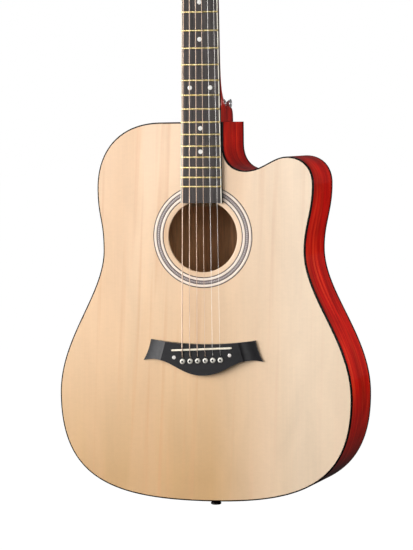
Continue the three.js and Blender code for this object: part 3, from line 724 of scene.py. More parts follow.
# The stations of part.mjs: place below the neck joint, heading, curve handles in and out, and chords.
UP = (0, 1)
DOWN = (0, -1)
LEFT = (-1, 0)
RIGHT = (1, 0)
STATIONS = [
    ((0, 0), LEFT, 0, 0, 6),
    ((-56, 0), LEFT, 0, 57, 44),
    ((-146, -88), DOWN, 53, 38, 24),
    ((-138.3, -168.5), DOWN, 41, 60, 44),
    ((-201.3, -362), DOWN, 76, 114, 64),
    ((0, -BODY_LENGTH), RIGHT, 131, 131, 64),
    ((201.3, -362), UP, 114, 76, 44),
    ((139.3, -170), UP, 60, 34, 24),
    ((151.1, -82), UP, 37, 23, 32),
    ((115.7, -45.7), LEFT, 20, 20, 24),
    ((59.5, -63.9), LEFT, 23, 19, 30),
    ((28.5, -29.5), UP, 22, 0, 4),
    ((28.5, 0), LEFT, 0, 0, 3),
]


def body_outline():
    curves = []
    following = STATIONS[1:] + STATIONS[:1]
    for (start, heading, _, out, steps), (end, turn, into, _, _) in zip(STATIONS, following):
        away = np.add(start, np.multiply(heading, out))
        back = np.subtract(end, np.multiply(turn, into))
        curves.append(bezier([start, away, back, end], steps))
    return np.vstack(curves) + (0, BODY_TOP)


OUTLINE = body_outline()
TAIL_INDEX = int(np.argmin(OUTLINE[:, 1]))


def normals_and_stretch():
    before = unit(OUTLINE - np.roll(OUTLINE, 1, axis=0))
    after = unit(np.roll(OUTLINE, -1, axis=0) - OUTLINE)
    inward = unit(columns(-before[:, 1] - after[:, 1], before[:, 0] + after[:, 0]))
    stretch = np.sum(inward * columns(-after[:, 1], after[:, 0]), axis=1)
    return inward, stretch


INWARD, STRETCH = normals_and_stretch()


def inset(distance):
    return OUTLINE + INWARD * (distance / STRETCH)[:, None]


def at_depth(outline, y):
    """Outline points in x and z with their depth, which may be one number or one for each point."""
    return columns(outline[:, 0], y, outline[:, 1])


# ---- body


def soundhole_ring(radius, y):
    towards = unit(OUTLINE - (0, HOLE_Z))
    return at_depth(towards * radius + (0, HOLE_Z), y)


def pin_bores(y0, y1):
    """Bores for the bridge pins, each with the slot that lets its string down beside the pin."""
    shapes = []
    for string in STRINGS:
        x, z = string.pin
        shapes.append(moved(cylinder(PIN_BORE, y0, y1, 28), shift(x, 0, z)))
        shapes.append(box(x - 1, x + 1, y0 + 0.01, y1 - 0.01, z + 1, z + STRING_BESIDE_PIN + 1.1))
    return shapes


def add_soundboard():
    edge = BINDING_WIDE + GAP
    lip = 0.6
    channel = ROSETTE_DEEP + 0.1
    rounding = [
        soundhole_ring(HOLE_RADIUS + lip * (1 - math.cos(a)), lip * (1 - math.sin(a)))
        for a in np.linspace(0, math.pi / 2, 4)
    ]
    board = [
        soundhole_ring(HOLE_RADIUS, SOUNDBOARD), *rounding,
        soundhole_ring(ROSETTE_INNER - 2 * GAP, 0), soundhole_ring(ROSETTE_INNER - 2 * GAP, channel),
        soundhole_ring(ROSETTE_OUTER + 2 * GAP, channel), soundhole_ring(ROSETTE_OUTER + 2 * GAP, 0),
        at_depth(lerp(soundhole_ring(ROSETTE_OUTER, 0)[:, ::2], inset(edge), 0.5), 0),
        at_depth(inset(edge), 0), at_depth(inset(edge), SOUNDBOARD),
    ]
    add_piece("soundboard_wood", grid(board, wrap_rows=True), SPRUCE, "soundboard_wood", "soundboard",
              cuts=pin_bores(-2, SOUNDBOARD + 2))


# Rings of the rosette from the soundhole out: how wide each is, its finish and its name.
ROSETTE_RINGS = [
    (1.3, RING_DARK, "inner_line"), (3.2, RING_CREAM, "inner_ring"), (1.3, RING_DARK, "line_a"),
    (2.7, HERRINGBONE, "band"), (1.3, RING_DARK, "line_b"), (3.2, RING_CREAM, "outer_ring"),
    (1.3, RING_DARK, "outer_line"),
]


def add_rosette():
    inner = ROSETTE_INNER
    for width, finish, name in ROSETTE_RINGS:
        outer = inner + width
        profile = [(inner, ROSETTE_DEEP), (inner, 0.02), (inner + 0.03, 0), (outer - 0.03, 0),
                   (outer, 0.02), (outer, ROSETTE_DEEP), (inner, ROSETTE_DEEP)]
        ring = moved(lathe(profile, 180), shift(0, 0, HOLE_Z))
        add_piece("rosette_" + name, ring, finish, "rosette_rings", "rosette")
        inner = outer


def add_bindings():
    radius = 1.1
    arc = [(radius * (1 - math.cos(a)), radius * (1 - math.sin(a))) for a in np.linspace(0, math.pi / 2, 6)]
    # Each strip has the same section. It reaches in from the face by its own depth.
    for name, face, inwards, deep in (("top_binding", 0, 1, BINDING_DEEP),
                                      ("back_binding", back_y(OUTLINE[:, 1]), -1, BACK_BINDING_DEEP)):
        profile = [(BINDING_WIDE, deep), (0, deep), *arc, (BINDING_WIDE, 0)]
        rows = [at_depth(inset(d), face + inwards * y) for d, y in profile]
        add_piece(name + "_strip", grid(rows, wrap_rows=True), BLACK_BINDING, "black_binding", name)


def sheet_ends(length, row_count):
    """The two end faces of a sheet of rows with that length, whose rows wrap and whose columns don't."""
    return [tuple(length * row + end for row in range(row_count)) for end in (0, length - 1)]


def add_sides():
    everywhere = np.arange(len(OUTLINE))
    halves = {
        "side_bass": everywhere[:TAIL_INDEX + 1],
        "side_treble": np.append(everywhere[TAIL_INDEX:], 0),
    }
    edge = 0.12
    front = BINDING_DEEP + GAP
    rear = back_y(OUTLINE[:, 1]) - BACK_BINDING_DEEP - GAP
    # Each corner is its distance in from the outline, its edge (0 front, 1 rear), and its offset in depth.
    corners = [(SIDE, 0, 0), (edge, 0, 0), (0, 0, edge), (0, 0.5, 0),
               (0, 1, -edge), (edge, 1, 0), (SIDE, 1, 0)]
    for name, reach in halves.items():
        rows = [at_depth(inset(d), lerp(front, rear, e) + offset)[reach] for d, e, offset in corners]
        points, faces = grid(rows, wrap_rows=True, wrap_columns=False)
        ends = sheet_ends(len(reach), len(corners))
        # The last row of faces is the bare inside.
        outside = (len(corners) - 1) * (len(reach) - 1)
        bands = np.repeat([0, 1, 0], [outside, len(reach) - 1, len(ends)])
        add_piece(name + "_wood", (points, faces + ends), [CHERRY_SIDE, INNER_WOOD], "cherry_wood", name,
                  bands=bands)


def add_back():
    arch = 1.5
    edge = inset(BINDING_WIDE + GAP)
    centre = np.array([0, HOLE_Z])
    shares = [1, 0.97, 0.9, 0.8, 0.65, 0.5, 0.3, 0.1, 0.001]
    outside = []
    inside = []
    for share in shares:
        flat = lerp(centre, edge, share)
        outside.append(at_depth(flat, back_y(flat[:, 1]) + arch * (1 - share ** 2)))
        inside.append(at_depth(flat, back_y(flat[:, 1]) - BACK))
    points, faces = loft([*reversed(inside), *outside])
    bands = np.repeat([1, 0], [len(shares) * len(edge), len(faces) - len(shares) * len(edge)])
    bands[-2] = 1
    add_piece("back_wood", (points, faces), [CHERRY_BACK, INNER_WOOD], "cherry_wood", "back", bands=bands)


# The distance along the outline to each of its points, and round to the first one again.
RUN = np.insert(np.cumsum(np.linalg.norm(np.diff(OUTLINE, axis=0, append=OUTLINE[:1]), axis=1)), 0, 0)


def walk(values, distances):
    """What a list with a pair for each of the outline's points holds at distances along it."""
    closed = np.vstack([values, values[:1]])
    return columns(np.interp(distances, RUN, closed[:, 0]), np.interp(distances, RUN, closed[:, 1]))


def add_linings():
    """The two kerfed strips that glue the plates to the sides: blocks on a thin web."""
    pitch = 7
    slit = 1.2
    web = 1.2
    # They run from one side of the neck block round the tail to its other side.
    block_bass = 31
    block_treble = 38
    coming_back = np.arange(len(OUTLINE)) > TAIL_INDEX
    at_block = coming_back & (OUTLINE[:, 0] < block_treble) & (OUTLINE[:, 1] > HOLE_Z)
    starts = np.arange(block_bass, RUN[int(np.argmax(at_block))] - pitch, pitch)
    distances = (starts[:, None] + (0, pitch - slit, pitch - slit + 0.05, pitch - 0.05)).ravel()
    spots = walk(OUTLINE, distances)
    towards = unit(walk(INWARD, distances))
    block = np.tile([1, 1, 0, 0], len(starts))
    near = SIDE + 0.15
    profile = [(0, 0), (LINING_WIDE, 0), (LINING_WIDE, 3.5), (2, LINING_DEEP), (0, LINING_DEEP)]
    for name, rear in (("top_lining", False), ("back_lining", True)):
        rows = []
        for d, y in profile:
            away = near + np.where(block == 1, d, min(d, web))
            flat = spots + towards * away[:, None]
            depth = back_y(flat[:, 1]) - BACK - 0.3 - y if rear else SOUNDBOARD + y
            rows.append(at_depth(flat, depth))
        points, faces = grid(rows, wrap_rows=True, wrap_columns=False)
        ends = sheet_ends(len(spots), len(profile))
        add_piece(name + "_kerfed", (points, faces + ends), LINING_WOOD, "inner_wood", name, sharp=20)


def add_end_pin():
    down_z = shift(0, END_PIN_Y, TAIL) @ Matrix.Rotation(math.pi / 2, 4, "X")
    outside = filleted([(0, -11), (5.4, -11), (7.2, -9.6), (7, -8), (4.6, -5.6), (4.9, -3), (6.4, -1),
                        (6.4, -0.1), (4.7, -0.1), (4.1, 24), (0, 24)], 1.2)
    turned_piece("end_pin_black", outside, down_z, BLACK_PLASTIC, "black_trim", "end_pin")


def frame_wood():
    """The inside pieces keep their CAD shapes, with softened edges."""
    braces = ["x_brace_a", "x_brace_b", "upper_brace", "tone_bar_upper", "tone_bar_lower", "bridge_plate",
              "back_brace_1", "back_brace_2", "back_brace_3"]
    finishes = dict.fromkeys(braces, BRACE_WOOD)
    finishes.update(neck_block=INNER_WOOD, tail_block=INNER_WOOD, truss_rod=ROD_STEEL)
    for name, finish in finishes.items():
        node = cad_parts[name]
        node.data.materials.clear()
        node.data.materials.append(finish)
        add_bevel(node, 0.2 if finish == ROD_STEEL else 0.5, segments=2)


# ---- strings' places

String = namedtuple("String", "number diameter pin saddle nut_x side post")


def string_places():
    places = []
    for i, diameter in enumerate(STRING_DIAMETERS):
        step = i - (len(STRING_DIAMETERS) - 1) / 2
        pin_x = step * PIN_PITCH
        saddle_x = step * SADDLE_PITCH
        side = -1 if i < 3 else 1
        places.append(String(
            number=len(STRING_DIAMETERS) - i,
            diameter=diameter,
            pin=(pin_x, slant_z(PIN_DOWN, pin_x)),
            saddle=(saddle_x, slant_z(SADDLE_DOWN, saddle_x)),
            nut_x=step * NUT_PITCH,
            side=side,
            post=POSTS[i] if side < 0 else POSTS[5 - i],
        ))
    return places


STRINGS = string_places()

# ---- neck and headstock

# The depth at which the ridge's slope, carried on past the cap, would meet the body.
FOOT_RIDGE = HEEL_DEPTH + HEEL_FOOT / HEEL_SLOPE
# Places across a section of the neck, from the fretboard to the ridge, closer together at both ends.
SHARES = (1 - np.cos(np.linspace(0, np.pi, 27))) / 2


def heel_reach(y):
    """How far above the body's top edge the heel's ridge is at depth y."""
    flare = HEEL_FLARE * math.exp((SHAFT_AT_HEEL - y) / HEEL_FLARE_DEPTH)
    return HEEL_FOOT + HEEL_SLOPE * (HEEL_DEPTH - y) + flare


def neck_half(y, ridge, z):
    """Half the neck's width at depth y, in a section whose ridge lies at depth ridge."""
    fullness = SHAFT_FULLNESS + 0.9 * min(1, max(0, (ridge - SHAFT_AT_HEEL) / 30))
    half = np.clip(1 - (y / ridge) ** fullness, 0, 1) ** (1 / fullness)
    width = lerp(board_half(z), HEEL_HALF_AT_CAP, np.clip(y / HEEL_DEPTH, 0, 1))
    return np.maximum(0.15, width * half)


def both_sides(half, y, z):
    """A ring from one side's half widths: down one flank and up the other."""
    return mirrored(columns(half, y, z))


def head_edge(start):
    """The headstock's edge as pairs of half width and distance up its face."""
    neck_side = NUT_WIDTH / 2
    shoulder = bezier([(neck_side, max(start, 1)), (neck_side, 14), (33.2, 12), (33.6, 30)], 22)
    flank = bezier([(33.6, 30), (HEAD_HALF, HEAD_LENGTH - 16)], 10)
    tip = (0.2, HEAD_LENGTH)
    top = bezier([(HEAD_HALF, HEAD_LENGTH - 16), (HEAD_HALF, HEAD_LENGTH - 5), (20, HEAD_LENGTH), tip], 18)
    return np.vstack([[(neck_side, start)], shoulder, flank, top, [tip]])


def transformed(points, matrix):
    return moved((points, None), matrix)[0]


def neck_rings():
    rings = []
    for share in np.linspace(1, 0, 60):
        ridge = lerp(SHAFT_AT_HEEL, FOOT_RIDGE, share ** 3)
        z = BODY_TOP + heel_reach(ridge)
        y = SHARES * min(ridge, HEEL_DEPTH)
        rings.append(both_sides(neck_half(y, ridge, z), y, z))
    heel_start = BODY_TOP + heel_reach(SHAFT_AT_HEEL)
    bend_start = -12
    for z in np.linspace(heel_start, bend_start, 14)[1:]:
        ridge = lerp(SHAFT_AT_NUT, SHAFT_AT_HEEL, (bend_start - z) / (bend_start - heel_start))
        y = SHARES * ridge
        rings.append(both_sides(neck_half(y, ridge, z), y, z))
    for share in np.linspace(0, 1, 9)[1:]:
        z = lerp(bend_start, NUT_THICK, share)
        y = SHARES * SHAFT_AT_NUT
        flat = both_sides(neck_half(y, SHAFT_AT_NUT, min(z, 0)), y, 0)
        turn = Matrix.Rotation(-HEAD_TILT * share, 4, "X")
        rings.append(transformed(flat, shift(0, 0, z) @ turn))
    square = (1 - np.abs(2 * SHARES - 1) ** 14) ** (1 / 14)
    round_back = (1 - SHARES ** SHAFT_FULLNESS) ** (1 / SHAFT_FULLNESS)
    for half, up in head_edge(HEAD_START):
        front = VENEER + 0.02
        volute = 1.4 * math.exp(-((up - 9) / 8) ** 2)
        rear = lerp(SHAFT_AT_NUT, HEAD_BACK, smoothstep(up / 25)) + volute
        section = lerp(round_back, square, smoothstep((up - 2) / 26))
        y = front + SHARES * (rear - front)
        ring = both_sides(np.maximum(0.1, half * section), y, up)
        rings.append(transformed(ring, HEADSTOCK))
    return rings


def post_bores(y0, y1):
    return [moved(cylinder(POST_BORE, y0, y1), HEADSTOCK @ shift(side * POST_X, 0, up))
            for side in (-1, 1) for up in POSTS]


def add_neck():
    seat = moved(cylinder(BUTTON_SEAT_RADIUS, 0, 20, 40), BUTTON_PLACE)
    channel = box(-3.2, 3.2, -1, ROD_Y + 3.2, BODY_TOP + 6, 6)
    pocket = box(-5.5, 5.5, -5, ROD_Y + 4.5, 5.9, 39)
    add_piece("neck_wood", loft(neck_rings()), CHERRY_NECK, "cherry_wood", "neck", sharp=40,
              cuts=[*post_bores(0, 20), seat, channel, pocket])

    ridges = lerp(HEEL_DEPTH, FOOT_RIDGE, np.linspace(0, 1, 28) ** 2)
    ups = np.array([BODY_TOP + heel_reach(ridge) for ridge in ridges])
    halves = np.array([neck_half(HEEL_DEPTH, ridge, z) for ridge, z in zip(ridges, ups)])
    cap = prism(mirrored(columns(halves, ups)), HEEL_DEPTH + 0.02, HEEL_DEPTH + HEEL_CAP)
    add_piece("heel_cap_black", cap, BLACK_PLASTIC, "black_trim", "heel_cap", bevel=0.8)


def add_veneer():
    shape = moved(prism(mirrored(head_edge(HEAD_START)), 0, VENEER), HEADSTOCK)
    opening = moved(box(-5.5, 5.5, -1, 3, 4, 36), HEADSTOCK)
    add_piece("headstock_face", shape, HEAD_WOOD, "head_veneer", "headstock_veneer",
              cuts=[*post_bores(-1, 3), opening], bevel=0.4)


def screw_heads(name, spots, radius):
    """Domed cross-head screws whose heads stand up along y from each spot's matrix."""
    dome = filleted([(0, radius * 0.5), (radius * 0.7, radius * 0.42), (radius, 0.1), (radius, -0.4),
                     (0, -0.4)], radius * 0.3)
    arm = radius * 0.55
    thin = radius * 0.13
    deep = radius * 0.1
    cross = [box(-arm, arm, deep, radius, -thin, thin), box(-thin, thin, deep, radius, -arm, arm)]
    heads = joined([moved(lathe(dome, 24), spot) for spot in spots])
    add_piece(name, heads, CHROME, "chrome", cuts=[moved(bar, spot) for spot in spots for bar in cross])


# Turns a lathe whose top is towards +y so that it faces the front instead.
FRONTWARDS = Matrix.Rotation(math.pi, 4, "Z")


def add_rod_cover():
    right = np.vstack([
        bezier([(6.5, 2), (10, 14), (9.5, 26), (7, 34)], 14),
        bezier([(7, 34), (5, 44), (0, 46)], 12),
    ])
    front = -1.8
    seam = -0.85
    layers = [("black", front, seam, BLACK_PLASTIC, 0.3), ("white", seam, -0.3, WHITE_PLASTIC, 0)]
    for name, y0, y1, finish, bevel in layers:
        shape = moved(prism(mirrored(right), y0, y1), HEADSTOCK)
        add_piece("truss_rod_cover_" + name, shape, finish, "black_trim", "truss_rod_cover", bevel=bevel)
    spots = [HEADSTOCK @ shift(0, front, up) @ FRONTWARDS for up in (6, 40)]
    screw_heads("cover_screws", spots, 1.7)


def add_strap_button():
    washer = [(0, 0), (6.3, 0), (6.4, 0.2), (6.2, 0.45), (0, 0.45)]
    turned_piece("strap_button_felt", washer, BUTTON_PLACE, FELT, "black_trim")
    outside = filleted([(0, -12), (1.8, -12), (1.8, 0.5), (5.6, 0.5), (5.6, 1.4), (3.4, 4), (3.3, 6.4),
                        (5.9, 9.1), (5.9, 10.4), (3.3, 11), (3.1, 10.5), (0, 10.5)], 0.9)
    turned_piece("strap_button_chrome", outside, BUTTON_PLACE, CHROME, "chrome", "strap_button")
    screw_heads("strap_button_screw", [BUTTON_PLACE @ shift(0, 10.5, 0)], 2.6)


# ---- fretboard and nut


def board_top(x):
    return -(BOARD_THICK - np.square(x) / (2 * BOARD_RADIUS))


def add_fretboard():
    ends = (-0.02, BOARD_END)
    rings = []
    for z in ends:
        inner = board_half(z) - BOARD_BINDING - GAP
        x = np.linspace(-inner, inner, 25)
        top = columns(x, board_top(x), z)
        rings.append(np.vstack([[(-inner, 0, z)], top, [(inner, 0, z)]]))
    add_piece("fretboard_wood", loft(rings), BOARD_WOOD, "board_wood", "fretboard", bevel=0.25)
    for side, name in ((-1, "bass"), (1, "treble")):
        rings = []
        for z in ends:
            outer = board_half(z)
            inner = outer - BOARD_BINDING
            corners = [(inner, 0), (inner, board_top(inner)), (outer, board_top(outer)), (outer, 0)]
            section = filleted(corners, 0.5)
            rings.append(columns(side * section[:, 0], section[:, 1], z))
        # The flank that faces sideways is black, as painted shade on the cream binding, and the top that
        # faces the player is cream.
        add_piece("fretboard_edge_" + name, loft(rings), [CREAM_PLASTIC, BLACK_BINDING], "cream_binding",
                  "fretboard_binding_" + name, bands=np.repeat([0, 1, 0], [9, 2, 3]))


def fret_wire(z):
    """One fret: a crowned wire that follows the board's curve, with its ends bevelled."""
    reach = board_half(z) - 0.25
    across = np.concatenate([[-1, -1 + 0.5 / reach, -1 + 1.4 / reach], np.linspace(-0.9, 0.9, 17),
                             [1 - 1.4 / reach, 1 - 0.5 / reach, 1]]) * reach
    angles = np.linspace(0, np.pi, 9)
    rings = []
    for x in across:
        crown = FRET_HIGH * (1 - 0.65 * (1 - min(1, (reach - abs(x)) / 1.4)) ** 2)
        arc_z = z + FRET_WIDE / 2 * np.cos(angles)
        arc_y = board_top(x) - crown * np.sin(angles) ** 0.8
        foot = [(x, board_top(x) + 0.3, z - FRET_WIDE / 2), (x, board_top(x) + 0.3, z + FRET_WIDE / 2)]
        rings.append(np.vstack([columns(x, arc_y, arc_z), foot]))
    return loft(rings)


def add_frets():
    wires = joined([fret_wire(fret_z(n)) for n in range(1, FRET_COUNT + 1)])
    add_piece("fret_wires", wires, FRET_METAL, "fret_wire", "frets", sharp=50)


def add_dots():
    """Pearl-white position dots on the board, and small dark ones on its bass edge."""
    inlay, quads = lathe([(3, 0.4), (3, -0.01), (2.75, -0.05), (0, -0.05)], 36)
    spot = lathe([(0, 0.05), (0.75, 0.04), (0.8, -0.4), (0, -0.4)], 16)
    on_top = []
    on_edge = []
    for fret in (3, 5, 7, 9, 12, 15, 17):
        z = (fret_z(fret) + fret_z(fret - 1)) / 2
        pair = (-1, 1) if fret == 12 else (0,)
        for step in pair:
            points = inlay + (step * 13.9, 0, z)
            points[:, 1] += board_top(points[:, 0])
            on_top.append((points, quads))
            up = z + step * 3.5
            on_edge.append(moved(spot, along_x(board_half(up), -3.6, up)))
    add_piece("position_dots", joined(on_top), DOT_WHITE, "bone")
    add_piece("side_dots", moved(joined(on_edge), mirror_if(-1)), BLACK_PLASTIC, "black_trim")


def add_nut():
    half = NUT_WIDTH / 2
    section = filleted([(-0.02, 0), (-9, 0), (-8.4, NUT_THICK), (-0.02, NUT_THICK)], 1.1)
    block = loft([np.insert(section, 0, x, axis=1) for x in (-half, half)])
    slots = []
    for string in STRINGS:
        radius = string.diameter / 2
        wide = radius + 0.08
        x = string.nut_x
        level = -NUT_STRING_LEVEL - radius
        bottom = [(x + wide * math.cos(a), level + wide * math.sin(a)) for a in np.linspace(0, np.pi, 9)]
        shape = np.array([(x + wide, -12), *bottom, (x - wide, -12)])
        slots.append(loft([np.insert(shape, 2, z, axis=1) for z in (-1, NUT_THICK + 1)]))
    add_piece("nut_bone", block, BONE, "bone", "nut", cuts=slots, bevel=0.2, segments=2)


# ---- bridge


def bridge_shape():
    """The bridge as rings across it, from one slanted end to the other, and how many faces its ends have."""
    top_reach = 72
    low_reach = 82.5
    crease = 50 / top_reach
    cove = np.linspace(0, 1, 13)
    cove_share = 2 * cove * (1 - cove) * 0.27 + cove ** 2
    cove_high = (1 - cove) ** 2 * BRIDGE_HIGH + 2 * cove * (1 - cove) * 3.3 + cove ** 2 * 2.9
    flat = np.linspace(0, crease, 16)[:-1]
    shares = np.concatenate([flat, crease + cove_share * (1 - crease)])
    highs = np.concatenate([np.full(len(flat), float(BRIDGE_HIGH)), cove_high])
    lower_side = np.vstack([
        bezier([(low_reach, -315), (70, -311.5), (55, -315)], 40),
        bezier([(55, -315), (38, -319.5), (24, -334.2), (0, -334.2)], 60), [(0, -334.2)],
    ])[::-1]
    bow = np.array([-1.1, -1.0])
    v = np.linspace(0, 1, 13)[:, None]
    half = []
    for share, high in zip(shares, highs):
        top = np.array([top_reach * share, -292.7 + 5.7 * share ** 2])
        low_x = low_reach * share
        low = np.array([low_x, np.interp(low_x, lower_side[:, 0], lower_side[:, 1])])
        column = lerp(top, low, v) + bow * share ** 8 * 4 * v * (1 - v)
        ring = columns(column[:, 0], -high, column[:, 1] + BODY_TOP)
        feet = ring[::-1] * (1, 0, 1)
        half.append(np.vstack([ring, feet]))
    other = [ring * (-1, 1, 1) for ring in half[:0:-1]]
    points, faces = grid([*other, *half])
    count = len(half[0])
    ends = [tuple(start + corner for corner in (i, i + 1, count - 2 - i, count - 1 - i))
            for start in (0, len(points) - count) for i in range(len(v) - 1)]
    return points, faces + ends, len(ends)


def saddle_shape():
    reach = SADDLE_LENGTH / 2
    wide = SADDLE_WIDE / 2
    ends = reach - wide * (1 - np.cos(np.linspace(0, np.pi / 2, 7)))[::-1]
    across = np.concatenate([-ends, np.linspace(-reach + 2 * wide, reach - 2 * wide, 41), ends[::-1]])
    across.sort()
    angles = np.linspace(0, np.pi, 9)
    rings = []
    for x in across:
        beyond = max(0, (abs(x) - (reach - wide)) / wide)
        half = wide * math.sqrt(max(0.02, 1 - beyond ** 2))
        top = SADDLE_TOP + 0.28 - 0.8 * smoothstep((abs(x) - 27) / 14)
        centre = slant_z(SADDLE_DOWN, x)
        arc = columns(x, 1 - top - np.sin(angles), centre + half * np.cos(angles))
        rings.append(np.vstack([arc, [(x, -4.3, centre - half), (x, -4.3, centre + half)]]))
    return loft(rings)


def add_bridge():
    points, faces, ends = bridge_shape()
    # The end faces take the light grey finish, a painted highlight.
    bands = np.repeat([0, 1], [len(faces) - ends, ends])
    reach = SADDLE_LENGTH / 2 + 0.1
    wide = SADDLE_WIDE / 2 + 0.04
    slot = moved(box(-reach, reach, -12, -4.2, -wide, wide),
                 shift(0, 0, BODY_TOP - SADDLE_DOWN) @ Matrix.Rotation(-math.atan(BRIDGE_SLANT), 4, "Y"))
    add_piece("bridge_wood", (points, faces), [BRIDGE_WOOD, BRIDGE_END_HIGHLIGHT], "bridge_wood", "bridge",
              bands=bands, sharp=25, cuts=[slot, *pin_bores(-12, 1)], bevel=0.45, angle=50)
    add_piece("saddle_bone", saddle_shape(), BONE, "bone", "saddle")

    cap = filleted([(0, -9.5), (1.6, -9.46), (2.45, -9.2), (2.6, -8.8), (2.6, -8.4), (0, -8.4)], 0.4)
    for name, x in (("bass", -BRIDGE_CAP_X), ("treble", BRIDGE_CAP_X)):
        turned_piece("bridge_cap_" + name, cap, shift(x, 0, slant_z(BRIDGE_CAP_DOWN, x)), PEARL, "bone")


def add_pins():
    seat = -BRIDGE_HIGH - 0.3
    ball = [(3.6 * math.cos(a), seat - 0.6 - 2.8 * math.sin(a)) for a in np.linspace(math.pi / 2, 0, 10)]
    pin = [*ball, (3.6, seat - 0.3), (3.1, seat), (2.5, seat), (2.5, seat + 1), (2.1, 9),
           (1.2, 10.6), (0, 11)]
    dot = [(0, seat - 3.46), (1.1, seat - 3.42), (1.5, seat - 3.24), (1.6, seat - 2.9), (0, seat - 2.9)]
    for string in STRINGS:
        x, z = string.pin
        body = f"bridge_pin_{string.number}"
        spot = shift(x, 0, z)
        turned_piece(body + "_white", pin, spot, WHITE_PLASTIC, "pin_plastic", body, body)
        turned_piece(body + "_dot", dot, spot, BLACK_PLASTIC, "black_trim", body=body, count=24)


# ---- strings


def coil_route(string):
    """Two turns of the string round its post, in the headstock's frame, and its end into the post."""
    side = string.side
    diameter = string.diameter
    radius = 2.85 + diameter / 2
    turns = np.linspace(0, 2, 65)
    angle = 2 * np.pi * turns
    x = side * (POST_X - radius * np.cos(angle))
    level = -8 + (diameter + 0.05) * turns
    route = columns(x, level, string.post + radius * np.sin(angle))
    return np.vstack([route, [(side * POST_X, level[-1], string.post + 1)]])


def add_strings():
    ball = filleted([(0, 6.2), (1.9, 6.2), (1.9, 7.1), (1.3, 7.4), (1.3, 8.2), (1.9, 8.5), (1.9, 9.4),
                     (0, 9.4)], 0.25)
    for string in STRINGS:
        radius = string.diameter / 2
        pin_x, pin_z = string.pin
        saddle_x, saddle_z = string.saddle
        down_z = pin_z + STRING_BESIDE_PIN
        over_saddle = -SADDLE_TOP - 0.3 - radius
        over_nut = -NUT_STRING_LEVEL - radius
        route = [
            (pin_x, 8, down_z),
            (pin_x, -BRIDGE_HIGH + 1, down_z),
            (pin_x, -BRIDGE_HIGH - 0.5 - radius, down_z + 0.8),
            (saddle_x, over_saddle, saddle_z - 1),
            (saddle_x, over_saddle, saddle_z + 0.5),
            (string.nut_x, over_nut, 0.5),
            (string.nut_x, over_nut, NUT_THICK - 0.5),
        ]
        coil = transformed(coil_route(string), HEADSTOCK)
        route = filleted([*route, coil[0]], 1.2, steps=5)
        finish = STRING_BRONZE
        slot = "string_bronze"
        if string.number <= PLAIN_STRINGS:
            finish = STRING_STEEL
            slot = "string_steel"
        name = f"string_{string.number}"
        add_piece(name + "_wire", tube(np.vstack([route[:-1], coil]), radius), finish, slot, name, sharp=60)
        turned_piece(name + "_ball", ball, shift(pin_x, 0, down_z), BALL_BRASS, slot, count=20)


# ---- tuners

PLATE_FRONT = HEAD_BACK + 0.3
PLATE_BACK = PLATE_FRONT + 1


def plate_shape():
    corners = [(POST_X - 9.4, POSTS[0] - 13), (POST_X + 9.6, POSTS[0] - 13),
               (POST_X + 9.6, POSTS[2] + 21), (POST_X - 9.4, POSTS[2] + 21)]
    return prism(filleted(corners, 4, steps=6, closed=True), PLATE_FRONT, PLATE_BACK)


def lug_shape(x, up):
    """A bracket with a round top that holds the key's shaft."""
    turn = np.linspace(0, np.pi, 13)
    arch = columns(GEAR_LEVEL + 3.1 * np.sin(turn), up + 3.4 * np.cos(turn))
    side = np.vstack([[(PLATE_BACK - 0.2, up + 3.4)], arch, [(PLATE_BACK - 0.2, up - 3.4)]])
    return loft([np.insert(side, 0, at, axis=1) for at in (x, x + 1.8)])


def gear_shape():
    """Post and gear wheel about the y axis, with a tooth gap facing the worm (+z)."""
    turn = 2 * np.pi * np.arange(GEAR_TEETH * 12) / (GEAR_TEETH * 12)
    radius = 5.8 - 0.8 * np.clip(1.6 * np.cos(GEAR_TEETH * (turn - np.pi / 2)), -1, 1)
    rim = columns(radius * np.cos(turn), radius * np.sin(turn))
    wheel = prism(rim, GEAR_LEVEL - 1.2, GEAR_LEVEL + 1.2)
    post = lathe(filleted([
        (0, -12), (3, -12), (3, -9.2), (2.7, -8.6), (2.7, -5.2), (3, -4.6), (3, PLATE_BACK + 0.4),
        (4, PLATE_BACK + 0.4), (4, GEAR_LEVEL - 1.2), (2.4, GEAR_LEVEL + 1), (2.4, GEAR_LEVEL + 2.4),
        (0, GEAR_LEVEL + 2.4),
    ], 0.5), 32)
    return [wheel, post]


def worm_shape():
    lead = 2 * math.pi * GEAR_PITCH_RADIUS / GEAR_TEETH
    rings = []
    for turn in np.linspace(-1.25, 1.25, 61):
        angle = 2 * math.pi * turn - math.pi / 2
        ring = [(lead * turn + away, radius * math.cos(angle), radius * math.sin(angle))
                for radius, away in ((1.2, -0.55), (3.2, -0.26), (3.2, 0.26), (1.2, 0.55))]
        rings.append(np.array(ring))
    return loft(rings)


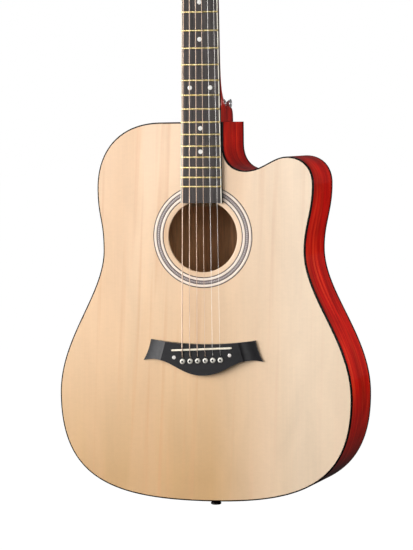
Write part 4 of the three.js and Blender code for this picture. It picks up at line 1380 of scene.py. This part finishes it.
def knob_shape():
    """The button: a rounded lozenge with a shallow hollow on both faces."""

    def power(value, exponent):
        return np.sign(value) * np.abs(value) ** exponent

    turn = 2 * np.pi * np.arange(36) / 36
    rings = []
    for tilt in np.linspace(-np.pi / 2, np.pi / 2, 21):
        out = power(math.cos(tilt), 0.75)
        x = 7 * out * power(np.cos(turn), 0.8)
        z = 8.6 * out * power(np.sin(turn), 0.8)
        hollow = 1 - 0.16 * math.exp(-(out / 0.45) ** 2)
        y = 4.2 * power(math.sin(tilt), 0.7) * hollow
        rings.append(columns(x + 26, y, z))
    return grid(rings)


def key_shape():
    shaft = lathe(filleted([
        (0, -9), (1.6, -9), (1.6, 7.8), (2.7, 7.8), (2.7, 9.2), (1.6, 9.2), (1.6, 15),
        (2.9, 17), (2.6, 23), (0, 23),
    ], 0.3), 28)
    return [moved(shaft, along_x(0, 0, 0)), worm_shape(), knob_shape()]


def add_tuners():
    ferrule = filleted([(3.15, 1), (5, 1), (5, -1.2), (4.4, -2.2), (3.15, -2.3), (3.15, 1)], 0.4)
    for side, name in ((-1, "bass"), (1, "treble")):
        hand = HEADSTOCK @ mirror_if(side)
        lugs = [lug_shape(POST_X + x, up + WORM_OFFSET) for up in POSTS for x in (-7.4, 5.6)]
        plate = moved(joined([plate_shape(), *lugs]), hand)
        add_piece("tuner_base_" + name, plate, CHROME, "chrome", "tuner_plate_" + name, bevel=0.25)
        spots = [hand @ shift(POST_X, PLATE_BACK, up) for up in (35.5, 66.5, 102, 131.5)]
        screw_heads("tuner_screws_" + name, spots, 2.4)
        rings = [moved(lathe(ferrule, 36), hand @ shift(POST_X, 0, up)) for up in POSTS]
        add_piece("tuner_ferrules_" + name, joined(rings), CHROME, "chrome")
    for string in STRINGS:
        hand = HEADSTOCK @ mirror_if(string.side)
        post = f"tuner_post_{string.number}"
        key = f"tuner_key_{string.number}"
        gear = moved(joined(gear_shape()), hand @ shift(POST_X, 0, string.post))
        add_piece(post + "_gear", gear, CHROME, "chrome", post, post)
        worm = moved(joined(key_shape()), hand @ shift(POST_X, GEAR_LEVEL, string.post + WORM_OFFSET))
        add_piece(key + "_button", worm, CHROME, "chrome", key, key, sharp=45)


# ---- assembly

add_camera()
add_studio()
add_soundboard()
add_rosette()
add_bindings()
add_sides()
add_back()
add_linings()
add_end_pin()
frame_wood()
add_neck()
add_veneer()
add_rod_cover()
add_strap_button()
add_fretboard()
add_frets()
add_dots()
add_nut()
add_bridge()
add_pins()
add_strings()
add_tuners()
